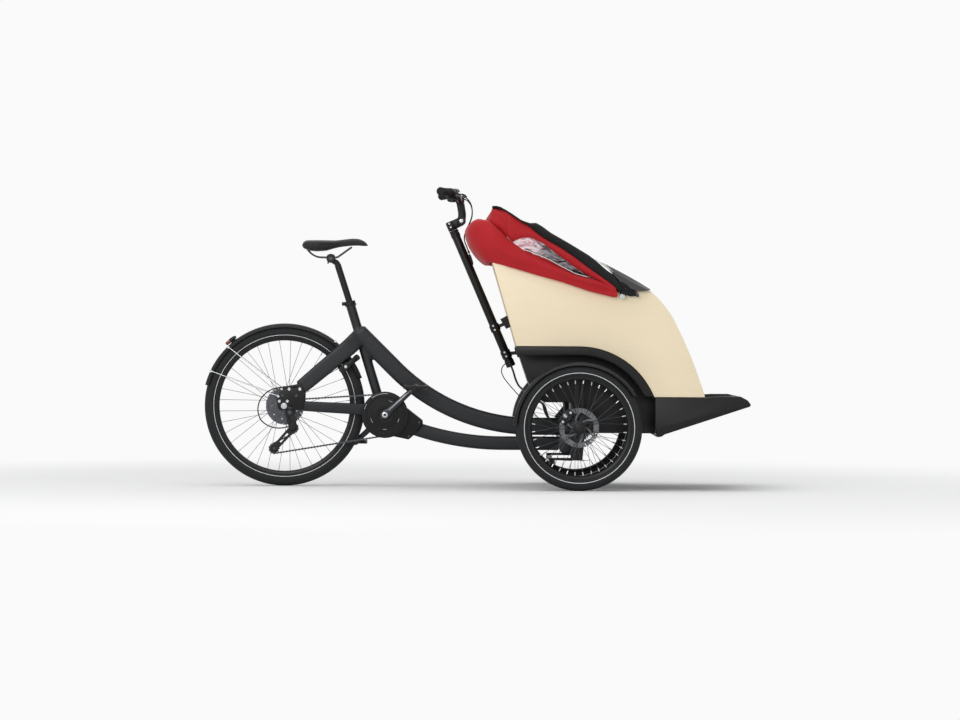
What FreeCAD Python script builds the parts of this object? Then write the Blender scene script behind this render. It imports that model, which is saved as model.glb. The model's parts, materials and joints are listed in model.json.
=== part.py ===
import FreeCAD, Part
import math
import operator
import os
from types import SimpleNamespace

import Sketcher
from FreeCAD import Placement, Rotation, Vector

# A cycle rickshaw: a tricycle with a wooden passenger box over its two steered front wheels.
# Millimetres. +X points forward, +Y to the rider's left, +Z up. The floor is Z = 0.
# "across" means along Y, and "out" means away from the middle plane Y = 0.

doc = FreeCAD.newDocument("CycleRickshaw")
sheet = doc.addObject("Spreadsheet::Sheet", "sizes")

# Driving sizes: alias, number, meaning.
SIZES = [
    ("wheelbase", 1205, "rear axle to front axle"),
    ("track", 920, "between the middles of the front tyres"),
    ("rearAxleX", -784, "rear axle from the origin"),
    ("rearRadius", 330, "rear tyre outside radius"),
    ("frontRadius", 253, "front tyre outside radius"),
    ("tyreWidth", 50, "tyre section width"),
    ("tyreDepth", 45, "tread down to the rim"),
    ("rimDepth", 23, "rim, radially"),
    ("rimWidth", 30, "rim, across"),
    ("spokeRadius", 1.0, "spoke wire"),
    ("spokeCount", 36, "spokes in each wheel"),
    ("flangeRadius", 25, "hub flange"),
    ("freehubRadius", 17, "freehub that carries the sprockets"),
    ("axleRadius", 8, "front stub axle"),
    ("rearAxleRadius", 6, "rear axle"),
    ("runningGap", 0.05, "radial clearance of a shaft in its hole"),
    ("rotorRadius", 80, "brake rotor"),
    ("rotorThick", 2, "brake rotor"),
    ("rotorArms", 6, "swept arms of a brake rotor"),
    ("kingpinInset", 75, "front tyre's middle to the kingpin, across"),
    ("kingpinBehind", 8, "front axle to the kingpin, backwards"),
    ("kingpinRadius", 9, "kingpin"),
    ("housingRadius", 22, "kingpin housing"),
    ("housingLow", 135, "kingpin housing's lower end above the floor"),
    ("housingHigh", 232, "kingpin housing's upper end above the floor"),
    ("steerArm", 100, "kingpin to tie rod pin, backwards"),
    ("tieRodHeight", 112, "tie rod's middle above the floor"),
    ("tieRodRadius", 8, "tie rod"),
    ("fenderGap", 9, "tyre to fender"),
    ("fenderThick", 3, "fender wall"),
    ("rearFenderWidth", 64, "rear fender, across"),
    ("frontFenderWidth", 66, "front fender, across"),
    ("seatAngle", 17.9, "seat tube from vertical, degrees"),
    ("bottomX", -369, "crank axis from the origin"),
    ("bottomZ", 295, "crank axis above the floor"),
    ("seatTubeRadius", 20, "seat tube below the cluster"),
    ("clusterZ", 632, "where the main beam's axis meets the seat tube"),
    ("stayZ", 617, "where the stays meet the seat tube"),
    ("collarZ", 757, "seat collar above the floor"),
    ("postRadius", 13.6, "seat post"),
    ("beamDepth", 72, "main beam"),
    ("beamWidth", 50, "main beam, across"),
    ("beamBend", 800, "bend of the main beam's axis"),
    ("beamSlope", 44.9, "main beam's upper run from level, degrees"),
    ("beamZ", 250, "main beam's level run above the floor"),
    ("lowerDepth", 57, "lower tube"),
    ("lowerWidth", 44, "lower tube, across"),
    ("lowerBend", 1125, "bend of the lower tube's axis"),
    ("lowerSlope", 17, "lower tube's upper run from level, degrees"),
    ("lowerZ", 180, "lower tube's level run above the floor"),
    ("crossLow", 150, "cross beam's underside above the floor"),
    ("crossBehind", 76, "front axle to the cross beam's rear face"),
    ("crossThick", 53, "cross beam, front to back"),
    ("columnLean", 23.35, "steering column from vertical, degrees"),
    ("columnRadius", 17.5, "steering column"),
    ("columnFootX", -275, "front axle to the column's foot"),
    ("columnFootZ", 505, "column's foot above the floor"),
    ("columnLength", 600, "steering column"),
    ("barWidth", 620, "handlebar, grip end to grip end"),
    ("barRadius", 11, "handlebar tube"),
    ("crankLength", 170, "crank axis to pedal axis"),
    ("crankAngle", 42.7, "right crank above level, degrees"),
    ("ringTeeth", 42, "chainring"),
    ("guardRadius", 95, "chain guard disc"),
    ("chainPitch", 12.7, "chain link"),
    ("sprocketStep", 5.4, "sprocket to sprocket, across"),
    ("chainLine", 52, "chain's middle plane from the middle plane"),
    ("boxWidth", 800, "passenger box, across its sides"),
    ("panelThick", 12, "wood panels"),
    ("archRadius", 328, "cut in the side panels over the front wheel"),
    ("archLip", 38, "black lip in that cut"),
    ("deckZ", 581, "underside of the seat deck above the floor"),
    ("tubWidth", 574, "foot well, outside"),
    ("tubWall", 6, "foot well wall"),
    ("tubFloorZ", 229, "foot well's underside above the floor"),
    ("sillZ", 378, "side panel's lower edge above the floor"),
    ("boxTopZ", 930, "rear panel's top above the floor"),
    ("seatDepth", 66, "seat cushion"),
]
for row, (alias, number, meaning) in enumerate(SIZES, start=1):
    sheet.set("A%d" % row, meaning)
    sheet.set("B%d" % row, str(number))
    sheet.setAlias("B%d" % row, alias)
doc.recompute()

OPERATIONS = {"+": operator.add, "-": operator.sub, "*": operator.mul, "/": operator.truediv}


class Size(float):
    """A number that also carries the sheet formula it comes from, so it can drive a property."""

    def __new__(cls, number, formula):
        made = super().__new__(cls, number)
        made.formula = formula
        return made

    def __add__(self, other):
        return combine(self, "+", other)

    def __radd__(self, other):
        return combine(other, "+", self)

    def __sub__(self, other):
        return combine(self, "-", other)

    def __rsub__(self, other):
        return combine(other, "-", self)

    def __mul__(self, other):
        return combine(self, "*", other)

    def __rmul__(self, other):
        return combine(other, "*", self)

    def __truediv__(self, other):
        return combine(self, "/", other)

    def __neg__(self):
        return combine(0, "-", self)


def formulaOf(value):
    return value.formula if isinstance(value, Size) else "%.6f" % value


def combine(first, sign, second):
    number = OPERATIONS[sign](float(first), float(second))
    return Size(number, "(%s %s %s)" % (formulaOf(first), sign, formulaOf(second)))


sizes = SimpleNamespace(**{alias: Size(float(sheet.get(alias)), "sizes." + alias) for alias, _, _ in SIZES})
nodes = []


# ---------------------------------------------------------------- ways of making a piece

def bind(thing, **values):
    """Tie properties of a document object to the sheet."""
    for name, value in values.items():
        thing.setExpression(name, formulaOf(value))
    return thing


def place(thing, x=0, y=0, z=0, turn=None):
    """Give an object its place, tied to the sheet, and its turn."""
    thing.Placement = Placement(Vector(x, y, z), turn or Rotation())
    for axis, value in zip("xyz", (x, y, z)):
        thing.setExpression(".Placement.Base." + axis, formulaOf(value))
    return thing


def node(label, thing):
    """Name a finished sub-part and list it for the files."""
    thing.Label = label
    nodes.append(thing)
    return thing


def solidNode(label, shape):
    """A sub-part whose shape comes straight from Part."""
    feature = doc.addObject("Part::Feature", label)
    feature.Shape = shape
    return node(label, feature)


def originPlane(body, role):
    return next(feature for feature in body.Origin.OriginFeatures if feature.Role == role)


def newSketch(body, role, name):
    sketch = body.newObject("Sketcher::SketchObject", name)
    sketch.AttachmentSupport = [(originPlane(body, role), "")]
    sketch.MapMode = "FlatFace"
    return sketch


def boundOutline(body, role, corners, name="outline"):
    """A closed outline of straight lines. Each corner's two places are held by the sheet."""
    sketch = newSketch(body, role, name)
    spots = [Vector(across, up, 0) for across, up in corners]
    sketch.addGeometry([Part.LineSegment(a, b) for a, b in zip(spots, spots[1:] + spots[:1])], False)
    for edge, corner in enumerate(corners):
        sketch.addConstraint(Sketcher.Constraint("Coincident", edge, 2, (edge + 1) % len(corners), 1))
        for kind, value in zip(("DistanceX", "DistanceY"), corner):
            row = sketch.addConstraint(Sketcher.Constraint(kind, -1, 1, edge, 1, float(value)))
            sketch.setExpression("Constraints[%d]" % row, formulaOf(value))
    return sketch


def turned(label, corners):
    """A body of revolution about its own Y. A corner is (radius, place along the axis)."""
    body = doc.addObject("PartDesign::Body", label)
    sketch = boundOutline(body, "XY_Plane", corners)
    spin = body.newObject("PartDesign::Revolution", "spin")
    spin.Profile = sketch
    spin.ReferenceAxis = (sketch, ["V_Axis"])
    spin.Angle = 360
    return body


def roundedWire(corners):
    """A closed outline in X and Z. A corner is (x, z, radius of its rounding)."""
    spots = [Vector(x, 0, z) for x, z, _ in corners]
    edges = []
    starts = []
    ends = []
    for here, (_, _, radius) in enumerate(corners):
        before = (spots[here - 1] - spots[here]).normalize()
        after = (spots[(here + 1) % len(spots)] - spots[here]).normalize()
        half = before.getAngle(after) / 2
        reach = radius / math.tan(half)
        starts.append(spots[here] + before * reach)
        ends.append(spots[here] + after * reach)
        middle = spots[here] + (before + after).normalize() * (radius / math.sin(half) - radius)
        if radius > 0:
            edges.append(Part.Arc(starts[-1], middle, ends[-1]).toShape())
        else:
            edges.append(None)
    chained = []
    for here, arc in enumerate(edges):
        if arc:
            chained.append(arc)
        finish = starts[(here + 1) % len(spots)]
        if (finish - ends[here]).Length > 1e-6:
            chained.append(Part.LineSegment(ends[here], finish).toShape())
    return Part.Wire(chained)


def slab(outline, low, high):
    """The outline, in X and Z, carried across from Y = low to Y = high."""
    face = Part.Face(outline)
    face.translate(Vector(0, low, 0))
    return face.extrude(Vector(0, high - low, 0))


def roundedPath(points, radii):
    """An open path of straight runs, with a tangent arc at each inner point."""
    edges = []
    start = points[0]
    for here, radius in enumerate(radii, start=1):
        before = (points[here - 1] - points[here]).normalize()
        after = (points[here + 1] - points[here]).normalize()
        half = before.getAngle(after) / 2
        reach = radius / math.tan(half)
        first = points[here] + before * reach
        last = points[here] + after * reach
        middle = points[here] + (before + after).normalize() * (radius / math.sin(half) - radius)
        if (first - start).Length > 1e-6:
            edges.append(Part.LineSegment(start, first).toShape())
        edges.append(Part.Arc(first, middle, last).toShape())
        start = last
    edges.append(Part.LineSegment(start, points[-1]).toShape())
    return Part.Wire(edges)


def cableRadii(points):
    """The largest even bend at each inner point: 0.45 of the shorter run over tan of half the turn."""
    radii = []
    for here in range(1, len(points) - 1):
        before = points[here] - points[here - 1]
        after = points[here + 1] - points[here]
        turn = before.getAngle(after)
        radii.append(0.45 * min(before.Length, after.Length) / math.tan(turn / 2))
    return radii


def tube(path, radius):
    """A round bar along a path."""
    start = path.OrderedEdges[0]
    ring = Part.Circle(start.valueAt(start.FirstParameter), start.tangentAt(start.FirstParameter), radius)
    return path.makePipeShell([Part.Wire(ring.toShape())], True, False)


def bentBeam(start, slope, bend, level, end, depth, width, corner):
    """A rectangular beam with bevelled corners that runs down from a point, bends once and ends level."""
    turn = math.radians(slope)
    knee = Vector(start.x + (start.z - level) / math.tan(turn), 0, level)
    along = (knee - start).normalize()
    reach = bend * math.tan(turn / 2)
    begin = knee - along * reach
    half = [(width / 2 - corner, depth / 2), (width / 2, depth / 2 - corner)]
    quarter = half + [(y, -z) for y, z in reversed(half)]
    section = [Vector(0, y, z) for y, z in quarter + [(-y, -z) for y, z in quarter]]
    face = Part.Face(Part.makePolygon(section + section[:1]))
    levelFace = face.copy()
    levelFace.translate(Vector(knee.x + reach, 0, level))
    straight = levelFace.extrude(Vector(end - knee.x - reach, 0, 0))
    curved = levelFace.revolve(Vector(knee.x + reach, 0, level + bend), Vector(0, 1, 0), slope)
    face.rotate(Vector(0, 0, 0), Vector(0, 1, 0), slope)
    face.translate(start)
    return face.extrude(begin - start).fuse(curved).fuse(straight).removeSplitter()


def rod(start, end, radius):
    return Part.makeCylinder(radius, (end - start).Length, start, end - start)


def strip(start, end, wide):
    """A straight square bar between two points."""
    block = Part.makeBox(wide, wide, (end - start).Length, Vector(-wide / 2, -wide / 2, 0))
    block.Placement = Placement(start, Rotation(Vector(0, 0, 1), end - start))
    return block


def brick(low, high):
    """A block between two corners."""
    return Part.makeBox(high[0] - low[0], high[1] - low[1], high[2] - low[2], Vector(*low))


def mirrored(shape):
    return shape.mirror(Vector(0, 0, 0), Vector(0, 1, 0))


def pair(shape):
    """A piece on the left and its mirror image on the right."""
    return Part.makeCompound([shape, mirrored(shape)])


def ringSector(centre, inner, outer, low, high, first, last):
    """Part of a ring about an axle, from Y = low to high and from one angle to the other, degrees."""
    def spot(radius, angle):
        turn = math.radians(angle)
        return centre + Vector(radius * math.cos(turn), 0, radius * math.sin(turn))
    middle = (first + last) / 2
    edges = [Part.Arc(spot(outer, first), spot(outer, middle), spot(outer, last)).toShape(),
             Part.LineSegment(spot(outer, last), spot(inner, last)).toShape(),
             Part.Arc(spot(inner, last), spot(inner, middle), spot(inner, first)).toShape(),
             Part.LineSegment(spot(inner, first), spot(outer, first)).toShape()]
    return slab(Part.Wire(edges), low, high)


def splined(radius, low, high, sides=9):
    """A many-sided bar about the Y axis, from Y = low to high."""
    angles = [2 * math.pi * (side + 0.5) / sides for side in range(sides + 1)]
    spots = [Vector(radius * math.cos(angle), low, radius * math.sin(angle)) for angle in angles]
    return Part.Face(Part.makePolygon(spots)).extrude(Vector(0, high - low, 0))


def pitchRadius(teeth):
    return float(sizes.chainPitch) / (2 * math.sin(math.pi / teeth))


def toothedDisc(teeth, low, high):
    """A sprocket about its own Y, from Y = low to high, with one pointed tooth for each link."""
    radius = pitchRadius(teeth)
    spots = []
    for tooth in range(teeth):
        for turn, reach in ((0.0, -3.0), (0.5, 3.0)):
            angle = 2 * math.pi * (tooth + turn) / teeth
            spots.append(Vector((radius + reach) * math.cos(angle), low, (radius + reach) * math.sin(angle)))
    return Part.Face(Part.makePolygon(spots + spots[:1])).extrude(Vector(0, high - low, 0))


# ---------------------------------------------------------------- places worked out from the sizes

frontX = sizes.rearAxleX + sizes.wheelbase
kingpinX = frontX - sizes.kingpinBehind
kingpinY = sizes.track / 2 - sizes.kingpinInset
rearCentre = Vector(sizes.rearAxleX, 0, sizes.rearRadius)
frontCentre = Vector(frontX, 0, sizes.frontRadius)
SIDES = (("left", 1), ("right", -1))
seatLean = math.tan(math.radians(sizes.seatAngle))


def seatTubeAt(height):
    """The seat tube's axis at a height."""
    return Vector(sizes.bottomX - (height - sizes.bottomZ) * seatLean, 0, height)


columnUp = Vector(-math.sin(math.radians(sizes.columnLean)), 0, math.cos(math.radians(sizes.columnLean)))
columnFoot = Vector(frontX + sizes.columnFootX, 0, sizes.columnFootZ)
columnTop = columnFoot + columnUp * float(sizes.columnLength)


def columnAt(height):
    return columnFoot + columnUp * ((height - columnFoot.z) / columnUp.z)


# ---------------------------------------------------------------- wheels

def tyre(label, radius, x, y):
    half = sizes.tyreWidth / 2
    seat = radius - sizes.tyreDepth
    body = turned(label, [(seat, -half), (radius - 11, -half), (radius, 11 - half), (radius, half - 11),
                          (radius - 11, half), (seat, half)])
    return node(label, place(body, x, y, radius))


def rim(label, radius, x, y):
    outer = radius - sizes.tyreDepth
    inner = outer - sizes.rimDepth
    half = sizes.rimWidth / 2
    body = turned(label, [(inner, -half), (outer, -half), (outer, half), (inner, half)])
    return node(label, place(body, x, y, radius))


def spokes(radius, flanges):
    """Laced spokes about the Y axis: each flange's leave it forward and backward in turn."""
    rimInner = float(radius - sizes.tyreDepth - sizes.rimDepth)
    each = int(sizes.spokeCount) // len(flanges)
    step = 360.0 / each
    wires = []
    for flange, (across, rimSide) in enumerate(flanges):
        for number in range(each):
            lead = 1 if number % 2 else -1
            hole = math.radians((number + 0.5) * step)
            far = hole + math.radians(lead * 3 * step + (flange - 0.5) * step / 2)
            root = float(sizes.flangeRadius) - 3.5
            start = Vector(root * math.cos(hole), across + lead * 1.6, root * math.sin(hole))
            reach = rimInner - 0.4
            end = Vector(reach * math.cos(far), rimSide, reach * math.sin(far))
            wires.append(strip(start, end, 2 * float(sizes.spokeRadius)))
    return wires


def hub(label, radius, x, y, turn, bore, steps, flanges):
    """A hub with the spokes that it carries, about the wheel's axis.

    A step is (radius, from Y, to Y, sides); a bore is (radius, from Y, to Y).
    """
    shell = [splined(float(size), low, high, sides) for size, low, high, sides in steps]
    whole = shell[0].multiFuse(shell[1:] + spokes(radius, flanges))
    whole = whole.cut(Part.makeCylinder(float(bore[0]), bore[2] - bore[1], Vector(0, bore[1], 0),
                                        Vector(0, 1, 0)))
    feature = solidNode(label, whole.removeSplitter())
    return place(feature, x, y, radius, turn)


def rotor(label, x, y, z, turn, sweep):
    """A brake rotor: a braking ring on arms that sweep one way round."""
    body = doc.addObject("PartDesign::Body", label)
    blank = newSketch(body, "XZ_Plane", "blank")
    outer = sizes.rotorRadius
    blank.addGeometry([Part.Circle(Vector(0, 0, 0), Vector(0, 0, 1), float(outer)),
                       Part.Circle(Vector(0, 0, 0), Vector(0, 0, 1), 12.0)], False)
    row = blank.addConstraint(Sketcher.Constraint("Radius", 0, float(outer)))
    blank.setExpression("Constraints[%d]" % row, formulaOf(outer))
    blank.addConstraint(Sketcher.Constraint("Coincident", 0, 3, -1, 1))
    plate = body.newObject("PartDesign::Pad", "plate")
    plate.Profile = blank
    plate.Midplane = True
    bind(plate, Length=sizes.rotorThick)
    doc.recompute()
    arms = int(sizes.rotorArms)
    wide = 360.0 / arms
    inside = 24.0
    outside = float(outer) - 15.0

    def spot(reach, angle):
        return Vector(reach * math.cos(math.radians(angle)), reach * math.sin(math.radians(angle)), 0)
    corners = [spot(inside, 12), spot(inside, wide - 12), spot(outside, wide - 4 + sweep * 28),
               spot(outside + 3, wide / 2 + sweep * 28), spot(outside, 4 + sweep * 28)]
    window = newSketch(body, "XZ_Plane", "window")
    window.addGeometry([Part.LineSegment(a, b) for a, b in zip(corners, corners[1:] + corners[:1])], False)
    opening = body.newObject("PartDesign::Pocket", "opening")
    opening.Profile = window
    opening.Type = 1
    opening.Midplane = True
    doc.recompute()
    ring = body.newObject("PartDesign::PolarPattern", "ring")
    ring.Originals = [opening]
    ring.Axis = (blank, ["N_Axis"])
    ring.Angle = 360
    bind(ring, Occurrences=sizes.rotorArms)
    body.Tip = ring
    return node(label, place(body, x, y, z, turn))


flange = sizes.flangeRadius
eachFlange = int(sizes.spokeCount) // 2
frontHub = [(flange, -28, -17, eachFlange), (14, -18, 22, 9), (flange, 21, 27, eachFlange),
            (22, 26, 40, eachFlange)]
frontBore = (sizes.axleRadius + sizes.runningGap, -29, 31.5)
for side, sign in SIDES:
    name = "front_" + side
    across = sizes.track / 2 * sign
    outward = Rotation(Vector(0, 0, 1), 0 if sign > 0 else 180)
    tyre("tyre_" + name, sizes.frontRadius, frontX, across)
    rim("rim_" + name, sizes.frontRadius, frontX, across)
    hub("hub_" + name, sizes.frontRadius, frontX, across, outward, frontBore, frontHub, [(-20, -2), (24, 2)])
    rotor("rotor_" + name, frontX, across - sign * 29, sizes.frontRadius, Rotation(), sign)

rearHub = [(sizes.freehubRadius, -61, -17, 9), (flange, -18, -12, eachFlange), (16, -13, 28, 9),
           (flange, 27, 38, eachFlange), (11, 37, 61, 9)]
rearBore = (sizes.rearAxleRadius + sizes.runningGap, -70, 70)
tyre("tyre_rear", sizes.rearRadius, sizes.rearAxleX, 0)
rim("rim_rear", sizes.rearRadius, sizes.rearAxleX, 0)
hub("hub_rear", sizes.rearRadius, sizes.rearAxleX, 0, Rotation(), rearBore, rearHub, [(-15, -2), (30, 2)])
rotor("rotor_rear", sizes.rearAxleX, 39, sizes.rearRadius, Rotation(), 1)

# Sprockets, smallest outermost, each one step further in.
SPROCKETS = [11, 14, 18, 23, 29, 36]
seat = splined(float(sizes.freehubRadius) + 0.02, -80, 0)
stack = []
for number, teeth in enumerate(SPROCKETS):
    middle = number * float(sizes.sprocketStep) - float(sizes.chainLine)
    stack.append(toothedDisc(teeth, middle - 0.9, middle + 0.9).cut(seat))
place(solidNode("cassette", Part.makeCompound(stack)), sizes.rearAxleX, 0, sizes.rearRadius)

# ---------------------------------------------------------------- frame

crossRear = frontX - sizes.crossBehind
crossFront = crossRear + sizes.crossThick
crossHigh = sizes.beamZ - sizes.beamDepth / 2

seatFoot = seatTubeAt(372.0)
collar = seatTubeAt(float(sizes.collarZ))
cluster = seatTubeAt(float(sizes.clusterZ))
seatUp = (collar - seatFoot).normalize()
seatTube = rod(seatFoot, collar, float(sizes.seatTubeRadius))
postBore = rod(seatTubeAt(640.0), collar + seatUp * 20, float(sizes.postRadius))

mainBeam = bentBeam(cluster, float(sizes.beamSlope), float(sizes.beamBend), float(sizes.beamZ),
                    float(crossFront), float(sizes.beamDepth), float(sizes.beamWidth), 8)
behind = brick((-400, -100, -200), (0, 100, 500))
behind.Placement = Placement(cluster, Rotation(Vector(0, 1, 0), -float(sizes.seatAngle)))
mainBeam = mainBeam.cut(behind).cut(rod(seatFoot, collar, float(sizes.seatTubeRadius)))
solidNode("main_beam", mainBeam)

# The drive unit hangs round the crank axis; its outline is given from that axis: x, z, rounding.
MOTOR = [(-62, 22, 20), (-34, 80, 20), (40, 80, 24), (90, 28, 20), (154, -22, 10), (156, -40, 16),
         (118, -84, 14), (98, -102, 12), (38, -90, 30), (-44, -62, 40)]
motorHalf = 40.0
motorWire = roundedWire([(sizes.bottomX + x, sizes.bottomZ + z, radius) for x, z, radius in MOTOR])
motor = slab(motorWire, -motorHalf, motorHalf)
seatTube = seatTube.cut(postBore).cut(motor)
solidNode("seat_tube", max(seatTube.Solids, key=lambda solid: solid.Volume))
crankAxis = Vector(sizes.bottomX, 0, sizes.bottomZ)
spindleRadius = 12.0
motorSolid = motor.cut(Part.makeCylinder(spindleRadius + sizes.runningGap, 200, crankAxis - Vector(0, 100, 0),
                                         Vector(0, 1, 0)))
solidNode("motor", motorSolid)

lowerStart = Vector(sizes.bottomX + 110, 0, sizes.bottomZ - 53)
lowerTube = bentBeam(lowerStart, float(sizes.lowerSlope), float(sizes.lowerBend), float(sizes.lowerZ),
                     float(crossRear), float(sizes.lowerDepth), float(sizes.lowerWidth), 7).cut(motor)
solidNode("lower_tube", max(lowerTube.Solids, key=lambda solid: solid.Volume))

# Cross beam with its kingpin housings and the two posts that carry the box.
kingpin = Vector(kingpinX, kingpinY, 0)
housing = rod(kingpin + Vector(0, 0, sizes.housingLow), kingpin + Vector(0, 0, sizes.housingHigh),
              float(sizes.housingRadius))
lug = brick((crossRear + 22, kingpinY - 30, sizes.crossLow + 4), (kingpinX, kingpinY, crossHigh - 4))
bar = brick((crossRear, -float(kingpinY), sizes.crossLow), (crossFront, float(kingpinY), crossHigh))
bar = bar.makeChamfer(8, [edge for edge in bar.Edges if abs(edge.tangentAt(0).y) > 0.99])
post = brick((crossRear + 22, 120, crossHigh - 20), (crossRear + 40, 160, 353))
cross = bar.multiFuse([lug, mirrored(lug), housing, mirrored(housing), post, mirrored(post)])
bore = rod(kingpin, kingpin + Vector(0, 0, 400), float(sizes.kingpinRadius + sizes.runningGap))
cross = cross.cut(bore).cut(mirrored(bore)).removeSplitter()
solidNode("cross_beam", cross)

# Rear triangle. Both pairs of stays spread from the seat tube to the dropout plates.


def flatStay(stations):
    """A flat stay: a ruled loft through (point, depth, thickness) stations, upright across."""
    wires = []
    for spot, depth, thickness, along in stations:
        up = Vector(0, 1, 0).cross(along).normalize()
        corners = [spot + up * (depth / 2 * a) + Vector(0, thickness / 2 * b, 0)
                   for a, b in ((1, -1), (1, 1), (-1, 1), (-1, -1))]
        wires.append(Part.makePolygon(corners + corners[:1]))
    return Part.makeLoft(wires, True, True)


stayEnd = rearCentre + Vector(69, 62, 77)
stayTop = seatTubeAt(float(sizes.stayZ))
stayAlong = (Vector(stayEnd.x, 0, stayEnd.z) - Vector(stayTop.x - 10, 0, stayTop.z - 9)).normalize()
stayBend = stayTop + stayAlong * 68 + Vector(0, 44, -4)
stay = flatStay([(stayTop + Vector(0, 16, 0), 74, 18, stayAlong), (stayBend, 71, 18, stayAlong),
                 (stayEnd, 59, 14, stayAlong)])
stay = stay.cut(rod(seatFoot, collar, float(sizes.seatTubeRadius))).cut(mainBeam)
stay = max(stay.Solids, key=lambda solid: solid.Volume)
stayLeft = stay
solidNode("rear_stays", pair(stayLeft))

chainEnd = rearCentre + Vector(50, 62.5, 0)
chainAlong = Vector(1, 0, -0.05).normalize()
chainStay = flatStay([(chainEnd, 38, 13, chainAlong),
                      (Vector(sizes.bottomX - 105, 42, sizes.bottomZ + 22), 46, 14, chainAlong),
                      (Vector(sizes.bottomX - 20, 30, sizes.bottomZ + 14), 48, 14, chainAlong)]).cut(motor)
chainStay = max(chainStay.Solids, key=lambda solid: solid.Volume)
solidNode("chainstays", pair(chainStay))

# Dropout plates, from the rear axle: x, z, rounding.
PLATE = [(-31, 26, 12), (-8, 78, 16), (72, 92, 0), (84, 60, 0), (82, -12, 0), (8, -16, 0), (-24, -14, 12)]
plateWire = roundedWire([(rearCentre.x + x, rearCentre.z + z, radius) for x, z, radius in PLATE])
plate = slab(plateWire, 69, 75)
plate = plate.cut(rod(rearCentre, rearCentre + Vector(0, 90, 0), float(sizes.rearAxleRadius)))
solidNode("dropout_plates", pair(plate))
axle = rod(rearCentre - Vector(0, 92, 0), rearCentre + Vector(0, 92, 0), float(sizes.rearAxleRadius))
nutRadius = 10.0
corners = [math.radians(60 * number) for number in range(7)]
hexagon = [Vector(nutRadius * math.cos(corner), 0, nutRadius * math.sin(corner)) for corner in corners]
nuts = []
for low, high in ((75, 81), (-81, -75)):
    nut = Part.Face(Part.makePolygon(hexagon)).extrude(Vector(0, high - low, 0))
    nut.translate(rearCentre + Vector(0, low, 0))
    nuts.append(nut)
solidNode("rear_axle", axle.multiFuse(nuts))

# ---------------------------------------------------------------- saddle and seat post

headSpot = seatTubeAt(912.0)
clampSpot = headSpot + Vector(-28, 0, 26)
seatPost = rod(seatTubeAt(650.0), headSpot, float(sizes.postRadius)).fuse(strip(headSpot, clampSpot, 25))
clamp = rod(clampSpot - Vector(0, 28, 0), clampSpot + Vector(0, 28, 0), 19)
solidNode("seat_post", seatPost.fuse(clamp))

# Each rail dips under the saddle and passes through the clamp. Places from the clamp: x, across, z.
RAIL = [(-84, 36, 22), (-46, 24, 4), (22, 24, 4), (40, 22, 14), (82, 14, 44)]
rails = []
for sign in (1, -1):
    points = [clampSpot + Vector(x, y * sign, z) for x, y, z in RAIL]
    runs = [strip(start, end, 7) for start, end in zip(points, points[1:])]
    rails.append(runs[0].multiFuse(runs[1:]))
solidNode("saddle_rails", Part.makeCompound(rails).cut(clamp))

# Saddle: its outline from the side crossed with its outline from above, both from the clamp.
SADDLE_SIDE = [(-118, 50, 0), (-107, 28, 0), (-86, 17, 0), (-61, 13, 0), (-20, 17, 0), (0, 28, 0),
               (13, 34, 0), (38, 41, 0), (79, 46, 0), (152, 48, 0), (152, 56, 0), (138, 72, 0), (116, 82, 0),
               (88, 83, 0), (54, 79, 0), (21, 75, 0), (-41, 76, 0), (-98, 75, 0), (-113, 69, 0)]
SADDLE_PLAN = [(-118, -60, 14), (-118, 60, 14), (-50, 70, 0), (40, 28, 0), (152, 19, 12), (152, -19, 12),
               (40, -28, 0), (-50, -70, 0)]
sideWire = roundedWire([(clampSpot.x + x, clampSpot.z + z, radius) for x, z, radius in SADDLE_SIDE])
planWire = roundedWire([(clampSpot.x + x, y, radius) for x, y, radius in SADDLE_PLAN])
plan = Part.Face(planWire)
plan.rotate(Vector(0, 0, 0), Vector(1, 0, 0), -90)
plan.translate(Vector(0, 0, clampSpot.z))
saddle = slab(sideWire, -80, 80).common(plan.extrude(Vector(0, 0, 200)))
for rail in rails:
    saddle = saddle.cut(rail)
saddle = saddle.cut(clamp)
solidNode("saddle", max(saddle.Solids, key=lambda solid: solid.Volume))

# ---------------------------------------------------------------- rear fender, light and lock

fenderInner = float(sizes.rearRadius + sizes.fenderGap - 3)
fenderOuter = fenderInner + float(sizes.fenderThick)
halfWide = float(sizes.rearFenderWidth) / 2
fender = ringSector(rearCentre, fenderInner, fenderOuter, -halfWide, halfWide, 20, 165.6)
struts = []
for angle, x, z in ((134, -10, 70), (155, -24, 40)):
    tip = rearCentre + Vector(fenderOuter * math.cos(math.radians(angle)), halfWide + 0.5,
                              fenderOuter * math.sin(math.radians(angle)))
    foot = rearCentre + Vector(x, 81, z)
    strut = strip(foot, tip, 4).fuse(brick((foot.x - 5, 75, foot.z - 5), (foot.x + 5, 84, foot.z + 5)))
    struts += [strut, mirrored(strut)]
solidNode("rear_fender", fender.multiFuse(struts))

lightAngle = 129.8
lamp = brick((-26, -14, -4), (26, 14, 18))
lamp.Placement = Placement(rearCentre + Vector(math.cos(math.radians(lightAngle)), 0,
                                              math.sin(math.radians(lightAngle))) * fenderOuter,
                           Rotation(Vector(0, 1, 0), 90 - lightAngle))
tyreSide = rod(rearCentre - Vector(0, 30, 0), rearCentre + Vector(0, 30, 0), fenderOuter)
solidNode("tail_light", lamp.cut(tyreSide))

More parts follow.
